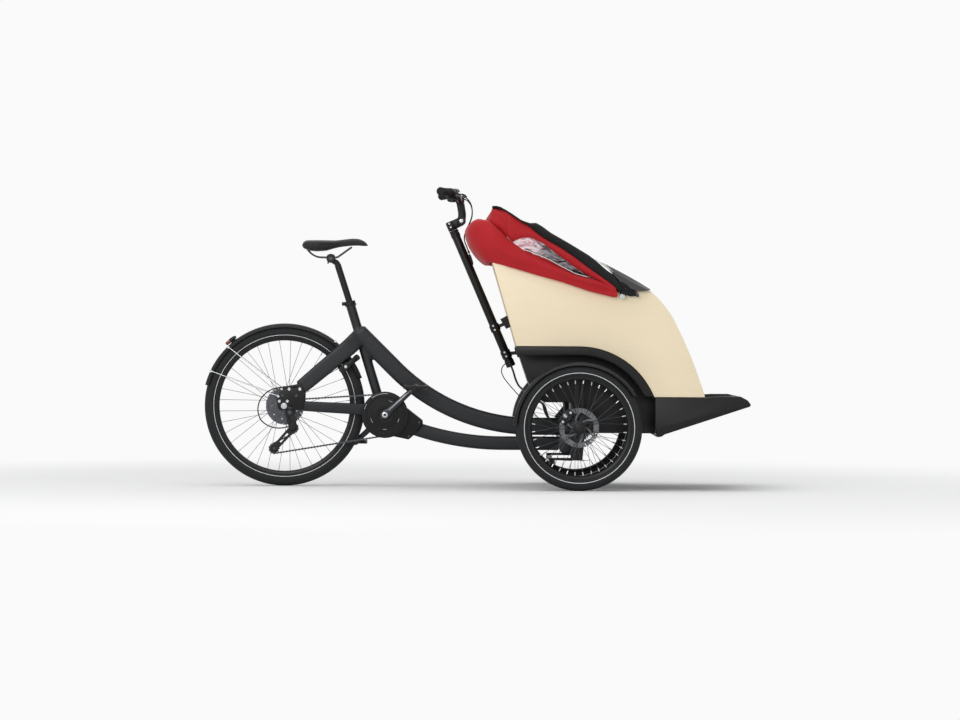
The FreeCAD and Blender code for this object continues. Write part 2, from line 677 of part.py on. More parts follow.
# Ring lock: a horseshoe over the tyre, hung under the stays. Distance from the rear axle, place across.
LOCK = [(fenderOuter + 22, -38), (fenderOuter + 12, -60), (238, -60), (238, -40), (fenderOuter - 6, -40),
        (fenderOuter + 6, -32), (fenderOuter + 6, 32), (fenderOuter - 6, 40), (238, 40), (238, 60),
        (fenderOuter + 12, 60), (fenderOuter + 22, 38)]
lockSide = Vector(stayAlong.z, 0, -stayAlong.x)
lockPoints = [rearCentre - stayAlong * far + Vector(0, across, 0) - lockSide * 29 for far, across in LOCK]
lock = Part.Face(Part.makePolygon(lockPoints + lockPoints[:1])).extrude(lockSide * -27)
lock = lock.cut(stayLeft).cut(mirrored(stayLeft)).cut(seatTube)
solidNode("ring_lock", max(lock.Solids, key=lambda solid: solid.Volume))

# ---------------------------------------------------------------- drive

chainY = -float(sizes.chainLine)
ringRadius = pitchRadius(int(sizes.ringTeeth))
smallRadius = pitchRadius(SPROCKETS[0])
guidePulley = rearCentre + Vector(37, 0, -91)
tensionPulley = rearCentre + Vector(-40, 0, -176)
pulleyRadius = 20.0
# Circles that the chain runs round, in order: centre, radius, sense (1 keeps the circle on its left).
COURSE = [(crankAxis, ringRadius, 1), (rearCentre, smallRadius, 1), (guidePulley, pulleyRadius, -1),
          (tensionPulley, pulleyRadius, 1)]


def tangentPoints(first, second):
    """Where the straight run from one circle to the next leaves and lands."""
    (a, ra, sa), (b, rb, sb) = first, second
    line = b - a
    base = math.atan2(line.z, line.x)
    lean = math.acos((sa * ra - sb * rb) / line.Length)
    angle = base - lean
    normal = Vector(math.cos(angle), 0, math.sin(angle))
    return a + normal * (sa * ra), b + normal * (sb * rb)


def chainLoop(offset):
    """The chain's closed course, moved out from the pitch line by an offset."""
    course = [(spot, radius + offset * sense, sense) for spot, radius, sense in COURSE]
    runs = [tangentPoints(here, course[(number + 1) % len(course)]) for number, here in enumerate(course)]
    edges = []
    for number, (spot, radius, sense) in enumerate(course):
        arrive = runs[number - 1][1]
        leave = runs[number][0]
        begin = math.atan2(arrive.z - spot.z, arrive.x - spot.x)
        end = math.atan2(leave.z - spot.z, leave.x - spot.x)
        sweep = (end - begin) % (2 * math.pi) if sense > 0 else -((begin - end) % (2 * math.pi))
        middle = begin + sweep / 2
        halfway = spot + Vector(radius * math.cos(middle), 0, radius * math.sin(middle))
        edges.append(Part.Arc(arrive, halfway, leave).toShape())
        edges.append(Part.LineSegment(*runs[number]).toShape())
    return Part.Wire(edges), runs


outerLoop, _ = chainLoop(4.0)
innerLoop, _ = chainLoop(-4.0)
_, chainRuns = chainLoop(0.0)
band = Part.Face(outerLoop).cut(Part.Face(innerLoop))
plates = []
for low in (chainY - 3.2, chainY + 2.1):
    one = band.copy()
    one.translate(Vector(0, low, 0))
    plates.append(one.extrude(Vector(0, 1.1, 0)))
cores = []
for start, end in (chainRuns[0], chainRuns[-1]):
    along = (end - start).normalize()
    core = strip(start + along * 40, end - along * 40, 4.4)
    core.translate(Vector(0, chainY, 0))
    cores.append(core)
solidNode("chain", plates[0].multiFuse([plates[1]] + cores))

cage = []
for low, high in ((chainY - 6.5, chainY - 5), (chainY + 5, chainY + 6.5)):
    wide = 14.0
    along = (tensionPulley - guidePulley).normalize()
    square = Vector(-along.z, 0, along.x)
    corners = [guidePulley - along * 12 + square * wide, guidePulley - along * 12 - square * wide,
               tensionPulley + along * 10 - square * wide * 0.7,
               tensionPulley + along * 10 + square * wide * 0.7]
    face = Part.Face(Part.makePolygon(corners + corners[:1]))
    face.translate(Vector(0, low, 0))
    cage.append(face.extrude(Vector(0, high - low, 0)))
for pulley in (guidePulley, tensionPulley):
    for wheel in (splined(4, chainY - 6, chainY + 6), toothedDisc(11, chainY - 1, chainY + 1)):
        wheel.translate(pulley)
        cage.append(wheel)
hanger = rearCentre + Vector(24, 0, -34)
cage.append(brick((hanger.x - 12, -81, hanger.z - 8), (hanger.x + 12, -75, rearCentre.z - 3)))
links = [hanger + Vector(-18, 0, 14), hanger + Vector(14, 0, 14), guidePulley + Vector(14, 0, -4),
         guidePulley + Vector(-16, 0, 4)]
face = Part.Face(Part.makePolygon(links + links[:1]))
face.translate(Vector(0, -81, 0))
cage.append(face.extrude(Vector(0, 22.6, 0)))
derailleur = cage[0].multiFuse(cage[1:])
solidNode("derailleur", derailleur)

# Crankset: ring, guard disc, spindle and both arms. Its own frame is the crank axis.
ring = toothedDisc(int(sizes.ringTeeth), chainY - 1, chainY + 1)
spider = splined(34, chainY - 14, chainY + 4)
guard = Part.makeCylinder(float(sizes.guardRadius), 2, Vector(0, chainY - 8, 0), Vector(0, 1, 0))
spindle = Part.makeCylinder(spindleRadius, 150, Vector(0, -75, 0), Vector(0, 1, 0))
crankTurn = Rotation(Vector(0, 1, 0), -float(sizes.crankAngle))
pieces = [ring, spider, guard]
for sign, turn in ((-1, 0.0), (1, 180.0)):
    length = float(sizes.crankLength)
    outline = [(-17, -10), (-8, -18), (length + 3, -12), (length + 13, -5), (length + 13, 5),
               (length + 3, 12), (-8, 18), (-17, 10)]
    wire = roundedWire([(x, z, 0) for x, z in outline])
    arm = slab(wire, 64, 78) if sign > 0 else slab(wire, -78, -64)
    arm.rotate(Vector(0, 0, 0), Vector(0, 1, 0), turn)
    pedalAxle = rod(Vector(length, sign * 70, 0), Vector(length, sign * 182, 0), 5)
    pedalAxle.rotate(Vector(0, 0, 0), Vector(0, 1, 0), turn)
    pieces += [arm, pedalAxle]
place(solidNode("crankset", spindle.multiFuse(pieces)), sizes.bottomX, 0, sizes.bottomZ, crankTurn)

for side, sign in SIDES:
    reach = Vector(math.cos(math.radians(sizes.crankAngle)), 0, math.sin(math.radians(sizes.crankAngle)))
    spot = crankAxis + reach * (-sign * float(sizes.crankLength))
    block = roundedWire([(-46, -9, 6), (46, -9, 6), (46, 9, 6), (-46, 9, 6)])
    pedal = slab(block, 88, 186)
    for low, high in ((-34, -12), (12, 34)):
        pedal = pedal.cut(brick((low, 100, -20), (high, 176, 20)))
    pedal = pedal.cut(Part.makeCylinder(5 + sizes.runningGap, 96, Vector(0, 87, 0), Vector(0, 1, 0)))
    if sign < 0:
        pedal = mirrored(pedal)
    pedal.Placement = Placement(spot, Rotation())
    solidNode("pedal_" + side, pedal)

# ---------------------------------------------------------------- steered front corners

fenderMiddle = float(sizes.track) / 2
fenderOut = fenderMiddle + 30
for side, sign in SIDES:
    inner = float(kingpinY)
    upright = roundedWire([(frontX - 34, sizes.housingLow - 14, 8), (frontX + 14, sizes.housingLow - 14, 8),
                           (frontX + 26, sizes.frontRadius, 10), (frontX + 20, sizes.frontRadius + 30, 10),
                           (frontX - 34, sizes.frontRadius + 30, 8)])
    knuckle = slab(upright, inner + 27, inner + 35)
    low = float(sizes.housingLow)
    high = float(sizes.housingHigh)
    for bottom, top in ((low - 14, low - 0.5), (high + 0.5, high + 13)):
        knuckle = knuckle.fuse(brick((kingpinX - 20, inner - 18, bottom), (kingpinX + 20, inner + 30, top)))
    knuckle = knuckle.fuse(rod(Vector(kingpinX, inner, low - 14), Vector(kingpinX, inner, high + 13),
                               float(sizes.kingpinRadius)))
    knuckle = knuckle.fuse(rod(Vector(frontX, inner + 30, sizes.frontRadius),
                               Vector(frontX, fenderMiddle + 31.2, sizes.frontRadius),
                               float(sizes.axleRadius)))
    boss = splined(16, inner + 30, inner + 44)
    boss.translate(Vector(frontX, 0, sizes.frontRadius))
    knuckle = knuckle.fuse(boss)
    arm = brick((kingpinX - sizes.steerArm - 12, inner - 10, low - 14), (kingpinX, inner + 10, low - 4))
    eye = rod(Vector(kingpinX - sizes.steerArm, inner, sizes.tieRodHeight - 10),
              Vector(kingpinX - sizes.steerArm, inner, low - 6), 6)
    knuckle = knuckle.fuse(arm).fuse(eye)
    angle = math.radians(140)
    spot = Vector(frontX + 66 * math.cos(angle), 0, sizes.frontRadius + 66 * math.sin(angle))
    block = brick((-19, inner + 29, -32), (19, inner + 51.5, 32))
    block.rotate(Vector(0, 0, 0), Vector(0, 1, 0), 180 - 140)
    block.translate(spot)
    gap = Part.makeCylinder(float(sizes.rotorRadius) + 1, 4, Vector(frontX, inner + 44, sizes.frontRadius),
                            Vector(0, 1, 0))
    block = block.cut(gap)
    clearHub = Part.makeCylinder(44, 60, Vector(frontX, inner, sizes.frontRadius), Vector(0, 1, 0))
    block = block.cut(clearHub)
    bracket = roundedWire([(frontX - 34, sizes.frontRadius - 10, 0), (frontX - 10, sizes.frontRadius + 14, 0),
                           (frontX - 30, sizes.frontRadius + 62, 0),
                           (frontX - 66, sizes.frontRadius + 30, 0)])
    knuckle = knuckle.fuse(slab(bracket, inner + 27, inner + 29)).removeSplitter()
    frontInner = float(sizes.frontRadius + sizes.fenderGap)
    wing = ringSector(Vector(frontX, 0, sizes.frontRadius), frontInner, frontInner + float(sizes.fenderThick),
                      fenderOut - float(sizes.frontFenderWidth), fenderOut, 30, 178)
    stayWire = roundedWire([(frontX - 10, sizes.frontRadius + 18, 0),
                            (frontX + 18, sizes.frontRadius + 18, 0),
                            (frontX + 16, sizes.frontRadius + frontInner + 1, 0),
                            (frontX - 12, sizes.frontRadius + frontInner + 1, 0)])
    stay = slab(stayWire, inner + 35, fenderMiddle - 34)
    wing = wing.fuse(stay)
    if sign < 0:
        knuckle, block, wing = mirrored(knuckle), mirrored(block), mirrored(wing)
    solidNode("knuckle_" + side, knuckle)
    solidNode("calliper_" + side, block)
    solidNode("fender_front_" + side, wing)

pinX = kingpinX - sizes.steerArm
tieEnd = Vector(pinX, kingpinY, sizes.tieRodHeight)
tie = rod(Vector(tieEnd.x, -tieEnd.y, tieEnd.z), tieEnd, float(sizes.tieRodRadius))
for sign in (1, -1):
    spot = Vector(pinX, sign * float(kingpinY), sizes.tieRodHeight)
    tie = tie.fuse(brick((spot.x - 12, spot.y - 12, spot.z - 9), (spot.x + 12, spot.y + 12, spot.z + 8)))
    tie = tie.cut(rod(spot - Vector(0, 0, 20), spot + Vector(0, 0, 20), 6 + float(sizes.runningGap)))
solidNode("tie_rod", tie)

# ---------------------------------------------------------------- steering column and handlebar

# The stem: a collar on the column, an arm forward to a joint, and an arm up to the handlebar.
pivot = columnTop + Vector(33, 0, 39)
barSpot = columnTop + Vector(26, 0, 123)
stem = rod(columnTop + columnUp * 1.0, columnTop + columnUp * 40, 20)
stem = stem.fuse(strip(columnTop + columnUp * 20, pivot, 32)).fuse(strip(pivot, barSpot, 28))
stem = stem.fuse(rod(pivot - Vector(0, 20, 0), pivot + Vector(0, 20, 0), 18))
stem = stem.fuse(rod(barSpot - Vector(0, 22, 0), barSpot + Vector(0, 22, 0), 19))
stem = stem.cut(rod(barSpot - Vector(0, 40, 0), barSpot + Vector(0, 40, 0), float(sizes.barRadius)))
stem = stem.cut(rod(columnTop - columnUp * 20, columnTop + columnUp * 1.0, 40))
solidNode("stem", stem)

barEnd = float(sizes.barWidth) / 2
BAR_LINE = [(0, 0, 0), (0, 62, 0), (-22, 160, 28), (-78, barEnd, 28)]
halfLine = [barSpot + Vector(*spot) for spot in BAR_LINE]
halfBar = tube(roundedPath(halfLine, [40, 60]), float(sizes.barRadius))
solidNode("handlebar", halfBar.fuse(mirrored(halfBar)).removeSplitter())
barTip = halfLine[-1]
gripAlong = (barTip - halfLine[-2]).normalize()
hand = rod(barTip - gripAlong * 150, barTip + gripAlong * 1, float(sizes.barRadius))
grip = rod(barTip - gripAlong * 118, barTip + gripAlong * 1, 16.5)
solidNode("grips", pair(grip.cut(hand)))

leverRoot = barTip - gripAlong * 130
leverPoints = [leverRoot + Vector(8, 0, -4), leverRoot + Vector(40, -8, -16), leverRoot + Vector(18, 92, -18)]
clampBlock = strip(leverRoot - gripAlong * 8, leverRoot + gripAlong * 8, 27).cut(hand)
lever = strip(leverPoints[0] + gripAlong * 2, leverPoints[1], 14).cut(hand)
lever = clampBlock.fuse(lever).fuse(strip(leverPoints[1], leverPoints[2], 8))
levers = max(lever.Solids, key=lambda solid: solid.Volume)
solidNode("brake_levers", pair(levers))

# ---------------------------------------------------------------- passenger box

boxHalf = float(sizes.boxWidth) / 2
panel = float(sizes.panelThick)
deck = float(sizes.deckZ)
sill = float(sizes.sillZ)
axleSpot = Vector(frontX, 0, sizes.frontRadius)
archOuter = float(sizes.archRadius)
archInner = archOuter - float(sizes.archLip)


def fromAxle(outline):
    """An outline whose x is counted from the front axle: (x, z, rounding)."""
    return roundedWire([(float(frontX) + x, z, radius) for x, z, radius in outline])


def archX(radius, height):
    """Where a circle about the front axle meets a height, in front of the axle."""
    return float(frontX) + math.sqrt(radius ** 2 - (height - axleSpot.z) ** 2)


boxRear = float(frontX) - 254
backTop = Vector(boxRear - (float(sizes.boxTopZ) - deck + 4) * math.tan(math.radians(16)), 0, sizes.boxTopZ)
# Front edge of a side panel from the sill up: x from the front axle, z.
FRONT_EDGE = [(508, 378), (493, 429), (467, 497), (425, 607), (382, 687), (331, 760), (284, 806)]
edges = []
sillArch = Vector(archX(archOuter, sill), 0, sill)
crown = Vector(frontX, 0, axleSpot.z + archOuter)
midAngle = (math.atan2(sillArch.z - axleSpot.z, sillArch.x - axleSpot.x) + math.pi / 2) / 2
archMiddle = axleSpot + Vector(math.cos(midAngle), 0, math.sin(midAngle)) * archOuter
frontSpots = [Vector(float(frontX) + x, 0, z) for x, z in FRONT_EDGE]
rearLow = Vector(boxRear, 0, crown.z)
edges.append(Part.LineSegment(rearLow, crown).toShape())
edges.append(Part.Arc(crown, archMiddle, sillArch).toShape())
edges.append(Part.LineSegment(sillArch, frontSpots[0]).toShape())
edges.append(Part.Arc(frontSpots[0], frontSpots[2], frontSpots[4]).toShape())
edges.append(Part.Arc(frontSpots[4], frontSpots[5], frontSpots[6]).toShape())
edges.append(Part.LineSegment(frontSpots[6], backTop).toShape())
edges.append(Part.LineSegment(backTop, rearLow).toShape())
sidePanel = slab(Part.Wire(edges), boxHalf - panel, boxHalf)
solidNode("box_side_panels", pair(sidePanel))

# Black arch: a lip in the panel's plane, with a liner behind it that keeps the wheel out.
lipRear = Vector(boxRear, 0, crown.z - float(sizes.archLip))
lipCrown = Vector(frontX, 0, axleSpot.z + archInner)
innerSill = Vector(archX(archInner, sill), 0, sill)
edges = [Part.LineSegment(rearLow, crown).toShape(), Part.Arc(crown, archMiddle, sillArch).toShape(),
         Part.LineSegment(sillArch, innerSill).toShape()]
innerMiddleAngle = (math.atan2(sill - axleSpot.z, innerSill.x - axleSpot.x) + math.pi / 2) / 2
innerMiddle = axleSpot + Vector(math.cos(innerMiddleAngle), 0, math.sin(innerMiddleAngle)) * archInner
edges += [Part.Arc(innerSill, innerMiddle, lipCrown).toShape(), Part.LineSegment(lipCrown, lipRear).toShape(),
          Part.LineSegment(lipRear, rearLow).toShape()]
lip = slab(Part.Wire(edges), boxHalf - panel, boxHalf)
tubHalf = float(sizes.tubWidth) / 2
wall = float(sizes.tubWall)
edges = [Part.LineSegment(rearLow, crown).toShape(), Part.Arc(crown, archMiddle, sillArch).toShape()]
linerInner = archOuter - wall
linerSill = Vector(archX(linerInner, sill), 0, sill)
linerMiddle = axleSpot + Vector(math.cos(midAngle), 0, math.sin(midAngle)) * linerInner
edges += [Part.LineSegment(sillArch, linerSill).toShape(),
          Part.Arc(linerSill, linerMiddle, crown - Vector(0, 0, wall)).toShape(),
          Part.LineSegment(crown - Vector(0, 0, wall), rearLow - Vector(0, 0, wall)).toShape(),
          Part.LineSegment(rearLow - Vector(0, 0, wall), rearLow).toShape()]
liner = slab(Part.Wire(edges), tubHalf, boxHalf - panel + 1)
solidNode("wheel_arches", pair(lip.fuse(liner).removeSplitter()))

# Foot well: one open-topped moulding. Outline x from the front axle, z.
TUB = [(-254, deck), (-203, 431), (-157, 353), (-30, 353), (-15, float(sizes.tubFloorZ)),
       (315, float(sizes.tubFloorZ)), (315, deck)]


def grown(points, by):
    """The foot well's outline, moved inwards by a wall."""
    wire = Part.makePolygon([Vector(float(frontX) + x, 0, z) for x, z in points + points[:1]])
    return wire if by == 0 else wire.makeOffset2D(-by)


outside = slab(grown(TUB, 0), -tubHalf, tubHalf)
tubInner = tubHalf - wall
tubFloor = float(sizes.tubFloorZ) + wall
tubFront = float(frontX) + 320
inside = slab(grown(TUB, wall), -tubInner, tubInner)
openTop = brick((boxRear + wall * 1.1, -tubInner, 500), (tubFront, tubInner, 620))
openFront = brick((float(frontX) + 200, -tubInner, tubFloor), (tubFront, tubInner, 620))
tub = outside.cut(inside).cut(openTop).cut(openFront)
below = Part.makeCylinder(archOuter, 1000, axleSpot - Vector(0, 500, 0), Vector(0, 1, 0))
below = below.fuse(brick((boxRear - 50, -500, 200), (float(frontX), 500, float(crown.z))))
below = below.fuse(brick((float(frontX), -500, 200), (float(frontX) + 400, 500, sill)))
tub = tub.common(below)
solidNode("foot_well", tub.removeSplitter())

# Footboard: a tray whose floor rises to a nose. Outline x from the front axle, z, rounding.
BOARD = [(305, sill, 0), (509, sill, 0), (572, 383, 0), (650, 383, 22), (680, 367, 8), (694, 349, 6),
         (689, 341, 4), (345, 227, 0), (334, 218, 0), (315, 216, 5), (305, 250, 4)]
board = slab(fromAxle(BOARD), -boxHalf, boxHalf)
TRAY = [(315, 400, 0), (315, 238, 0), (341, 236, 4), (660, 346, 10), (650, 400, 0)]
board = board.cut(slab(fromAxle(TRAY), -boxHalf + panel, boxHalf - panel))
board = board.cut(brick((float(frontX) + 290, -tubHalf, 200), (float(frontX) + 315.2, tubHalf, 400)))
solidNode("footboard", board)

backLow = rearLow + Vector(1, 0, 0)
backHigh = backTop + Vector(1, 0, -6)
across = Vector(panel + 0.5, 0, 0)
backWire = Part.makePolygon([backLow, backLow + across, backHigh + across, backHigh, backLow])
solidNode("box_back", slab(backWire, -boxHalf + panel, boxHalf - panel))

benchFront = float(frontX) + 58
bench = brick((boxRear + 16, -boxHalf + panel, deck + 0.2), (benchFront, boxHalf - panel, deck + panel))
front = brick((benchFront - panel, -tubInner, tubFloor), (benchFront, tubInner, deck + 0.2))
solidNode("seat_deck", bench.fuse(front))

seatTop = deck + panel + float(sizes.seatDepth)
cushion = roundedWire([(boxRear + 14, deck + panel, 8), (float(frontX) + 62, deck + panel, 16),
                       (float(frontX) + 62, seatTop, 26), (boxRear - 4, seatTop, 16)])
solidNode("seat_cushion", slab(cushion, -boxHalf + panel + 6, boxHalf - panel - 6))
backSlope = math.tan(math.radians(16))
cushionTop = 900.0
lowX = boxRear - (seatTop - deck) * backSlope
highX = boxRear - (cushionTop - deck) * backSlope
backCushion = roundedWire([(lowX + 14, seatTop + 1, 6), (lowX + 70, seatTop + 1, 20),
                           (highX + 62, cushionTop, 20), (highX + 16, cushionTop, 10)])
solidNode("back_cushion", slab(backCushion, -boxHalf + panel + 8, boxHalf - panel - 8))

# Folded hood: a gathered roll behind the seat, with an arm along each side. x from the front axle, z,
# rounding.
HOOD = [(149, 777, 12), (-17, 813, 0), (-223, 874, 0), (-325, 902, 0), (-397, 928, 12), (-436, 962, 14),
        (-460, 1020, 16), (-454, 1060, 10), (-403, 1096, 8), (-384, 1082, 0), (-339, 1144, 10),
        (-305, 1134, 8), (-233, 1085, 0), (-176, 1078, 8), (-120, 1038, 0), (34, 948, 0), (74, 918, 8),
        (138, 864, 10), (162, 796, 8)]
hood = slab(fromAxle(HOOD), -boxHalf - 26, boxHalf + 26)
armInner = boxHalf - 40
hood = hood.cut(brick((float(frontX) - 330, -armInner, 700), (float(frontX) + 200, armInner, 1200)))
hood = hood.cut(pair(sidePanel))
# A hollow in the middle of the roll, where the lever hoses swing past with the handlebar: (up the column,
# radius) at its two ends.
RELIEF = [(475, 34), (640, 140)]
reliefLength = RELIEF[1][0] - RELIEF[0][0]
reliefFoot = columnFoot + columnUp * RELIEF[0][0]
hood = hood.cut(Part.makeCone(RELIEF[0][1], RELIEF[1][1], reliefLength, reliefFoot, columnUp))
hood = hood.cut(slab(backWire, -boxHalf + panel, boxHalf - panel)).cut(slab(backCushion, -boxHalf, boxHalf))
solidNode("folded_hood", max(hood.Solids, key=lambda solid: solid.Volume))

FLAP = [(165, 792, 6), (243, 803, 6), (284, 807, 0), (200, 858, 10), (68, 928, 4), (82, 897, 0),
        (139, 852, 0)]
flap = slab(fromAxle(FLAP), boxHalf - 34, boxHalf + 18).cut(sidePanel).cut(hood)
flap = max(flap.Solids, key=lambda solid: solid.Volume)
solidNode("hood_flaps", pair(flap))

hinges = []
for x, z in ((178, 776), (214, 776)):
    spot = Vector(float(frontX) + x, boxHalf, z)
    hinges.append(rod(spot + Vector(0, 4, 0), spot + Vector(0, 24, 0), 11))
plateSpot = Vector(float(frontX) + 196, boxHalf, 776)
hinges.append(brick((plateSpot.x - 30, boxHalf, 762), (plateSpot.x + 30, boxHalf + 4, 792)))
hinge = hinges[0].multiFuse(hinges[1:])
solidNode("hood_hinges", pair(hinge))

# Steering column with its two brackets on the box and a port on its front for the lever hoses.
columnOut = Vector(columnUp.z, 0, -columnUp.x)
column = rod(columnFoot, columnTop, float(sizes.columnRadius))
arms = [strip(columnAt(655.0), columnAt(655.0) + columnOut * 46, 15)]
arms.append(strip(columnAt(546.0), Vector(176, 0, 553), 15))
arms.append(strip(columnAt(912.0) + columnOut * 18, columnAt(946.0) + columnOut * 18, 14))
UPPER_HEAD = [(132, 704), (145, 661), (129, 654), (106, 690)]
LOWER_HEAD = [(163, 573), (171, 573), (184, 535), (176, 535)]
for outline, half in ((UPPER_HEAD, 22), (LOWER_HEAD, 16)):
    arms.append(slab(roundedWire([(x, z, 0) for x, z in outline]), -half, half))
column = column.multiFuse(arms).cut(outside).cut(slab(backWire, -boxHalf, boxHalf)).cut(pair(sidePanel))
column = max(column.Solids, key=lambda solid: solid.Volume)
solidNode("steering_column", column)

# ---------------------------------------------------------------- rear brake and cables

rearCalliper = brick((rearCentre.x + 40, 32, rearCentre.z + 30), (rearCentre.x + 70, 48, rearCentre.z + 80))
rearCalliper = rearCalliper.cut(Part.makeCylinder(float(sizes.rotorRadius) + 1, 4,
                                                  rearCentre + Vector(0, 37, 0),
                                                  Vector(0, 1, 0)))
bracket = brick((rearCentre.x + 48, 44, rearCentre.z + 40), (rearCentre.x + 84, 62, rearCentre.z + 96))
bracket = bracket.cut(stayLeft)
rearCalliper = rearCalliper.fuse(max(bracket.Solids, key=lambda solid: solid.Volume))
solidNode("calliper_rear", rearCalliper)

# Cables, each along its own course. A course starts and ends inside what holds the cable.


def cable(course, radius, holders=()):
    """A round cable along a course of points, less what holds its ends."""
    points = [Vector(*spot) for spot in course]
    radii = cableRadii(points)
    print("cable bends, mm: " + " ".join("%.0f" % bend for bend in radii))
    path = roundedPath(points, radii)
    made = tube(path, radius)
    if abs(made.Volume / (math.pi * radius ** 2 * path.Length) - 1) > 0.01:
        raise RuntimeError("a cable folds over itself")
    for holder in holders:
        made = made.cut(holder)
    return max(made.Solids, key=lambda solid: solid.Volume)


CORNER_HOSE = [(140, 8, 519), (158, 8, 477), (166, 44, 446), (180, 104, 416), (204, 200, 396),
               (228, 290, 370), (284, 318, 346), (294, 334, 298), (326, 348, 256), (368, 352, 240),
               (370, 352, 200)]
CENTRE_CABLE = [(134, -8, 515), (112, -14, 496), (108, -30, 474), (118, -56, 450), (139, -92, 424),
                (161, -140, 399), (186, -190, 372), (208, -214, 348), (232, -234, 320), (258, -250, 288),
                (292, -260, 262), (322, -266, 230), (356, -270, 194)]
SHIFT_LOOP = [(-728, -71, 408), (-752, -92, 410), (-800, -93, 407), (-846, -92, 394), (-882, -90, 358),
              (-893, -88, 312), (-879, -86, 268), (-840, -85, 243), (-798, -84, 237), (-754, -75, 248)]
LEVER_HOSE = [(-64, 178, 1191), (-38, 132, 1188), (-16, 84, 1158), (-14, 50, 1112), (-34, 24, 1068),
              (-51, 12, 1024), (-26, 9, 962)]
hose = cable(CORNER_HOSE, 4.0, [column, cross])
cables = [hose, mirrored(hose), cable(CENTRE_CABLE, 2.0, [column, cross]),
          cable(SHIFT_LOOP, 2.5, [mirrored(plate), derailleur])]
solidNode("control_cables", Part.makeCompound(cables))
solidNode("lever_hoses", pair(cable(LEVER_HOSE, 2.5, [levers])))

# ---------------------------------------------------------------- check and write

doc.recompute()
for thing in doc.Objects:
    if "Invalid" in thing.State or "Error" in thing.State:
        raise RuntimeError("%s did not build" % thing.Label)
os.makedirs("parts", exist_ok=True)
for piece in nodes:
    shape = piece.Shape
    if shape.isNull() or not shape.isValid():
        raise RuntimeError("%s has no sound shape" % piece.Label)
    shape.exportStep("parts/%s.step" % piece.Label)
print("%d sub-parts written" % len(nodes))
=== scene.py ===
import bmesh
import bpy
import json
import math
import numpy as np
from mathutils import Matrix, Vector


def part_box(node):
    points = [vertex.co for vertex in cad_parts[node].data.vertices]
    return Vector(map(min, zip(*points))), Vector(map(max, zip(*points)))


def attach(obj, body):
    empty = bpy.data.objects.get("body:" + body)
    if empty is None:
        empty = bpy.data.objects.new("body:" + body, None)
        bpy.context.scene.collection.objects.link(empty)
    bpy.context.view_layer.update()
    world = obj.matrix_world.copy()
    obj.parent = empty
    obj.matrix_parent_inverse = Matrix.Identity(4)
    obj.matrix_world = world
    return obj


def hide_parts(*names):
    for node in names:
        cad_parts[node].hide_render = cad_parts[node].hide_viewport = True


# A cycle rickshaw: tricycle frame, two steered front wheels, a wooden passenger box and its folded hood.
# Metres. X points forward, Y to the rider's left, Z up, the floor is Z = 0.
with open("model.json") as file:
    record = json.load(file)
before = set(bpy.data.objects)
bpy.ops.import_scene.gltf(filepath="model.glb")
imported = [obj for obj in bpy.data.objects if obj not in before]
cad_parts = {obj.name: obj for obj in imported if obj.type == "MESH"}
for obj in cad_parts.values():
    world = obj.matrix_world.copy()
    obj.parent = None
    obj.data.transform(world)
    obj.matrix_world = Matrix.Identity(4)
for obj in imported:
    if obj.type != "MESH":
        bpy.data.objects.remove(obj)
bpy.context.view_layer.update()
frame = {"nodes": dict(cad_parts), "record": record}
print("frame loaded: %d nodes" % len(frame["nodes"]))

camera = {"spot": (0.02, -17.6, 0.6066), "pitch": 0.275, "roll": -0.3, "lens": 160.0, "sensor": 36.0}
lens = bpy.data.cameras.new("camera")
lens.lens, lens.sensor_width = camera["lens"], camera["sensor"]
lens.clip_end = 200.0
cameraObject = bpy.data.objects.new("camera", lens)
cameraObject.location = camera["spot"]
cameraObject.rotation_euler = (math.radians(90 - camera["pitch"]), math.radians(camera["roll"]), 0)
bpy.context.scene.collection.objects.link(cameraObject)
bpy.context.scene.camera = cameraObject
bpy.context.scene.view_settings.view_transform = "Standard"

# Node helpers


def addNode(tree, kind, settings=None, **sockets):
    # a node with its plain settings, then each socket is a value or a link from another node's output
    made = tree.nodes.new(kind)
    for name, value in (settings or {}).items():
        setattr(made, name, value)
    for name, value in sockets.items():
        feed(tree, made, name.replace("_", " "), value)
    return made


def feed(tree, made, name, value):
    slot = made.inputs[int(name[1:])] if name[0] == "i" and name[1:].isdigit() else made.inputs[name]
    if isinstance(value, bpy.types.NodeSocket):
        tree.links.new(value, slot)
    else:
        slot.default_value = value


def newGroup(name, inputs, outputs):
    # an empty shader node group with named sockets: (name, socket kind, starting value)
    group = bpy.data.node_groups.new(name, "ShaderNodeTree")
    for label, kind, start in inputs:
        made = group.interface.new_socket(name=label, in_out="INPUT", socket_type=kind)
        if start is not None:
            made.default_value = start
    for label, kind in outputs:
        group.interface.new_socket(name=label, in_out="OUTPUT", socket_type=kind)
    return group, group.nodes.new("NodeGroupInput").outputs, group.nodes.new("NodeGroupOutput").inputs


def blended(tree, factor, first, second, kind="RGBA"):
    # first where the factor is 0, second where it is 1
    mix = addNode(tree, "ShaderNodeMix", {"data_type": kind})
    places = {"RGBA": (6, 7, 2), "FLOAT": (2, 3, 0)}[kind]
    feed(tree, mix, "i0", factor)
    feed(tree, mix, "i%d" % places[0], first)
    feed(tree, mix, "i%d" % places[1], second)
    return mix.outputs[places[2]]


def reckon(tree, operation, first, second=0.0, third=0.0, clamp=False):
    return addNode(tree, "ShaderNodeMath", {"operation": operation, "use_clamp": clamp}, i0=first,
        i1=second, i2=third).outputs[0]


colourSocket, floatSocket, vectorSocket = "NodeSocketColor", "NodeSocketFloat", "NodeSocketVector"

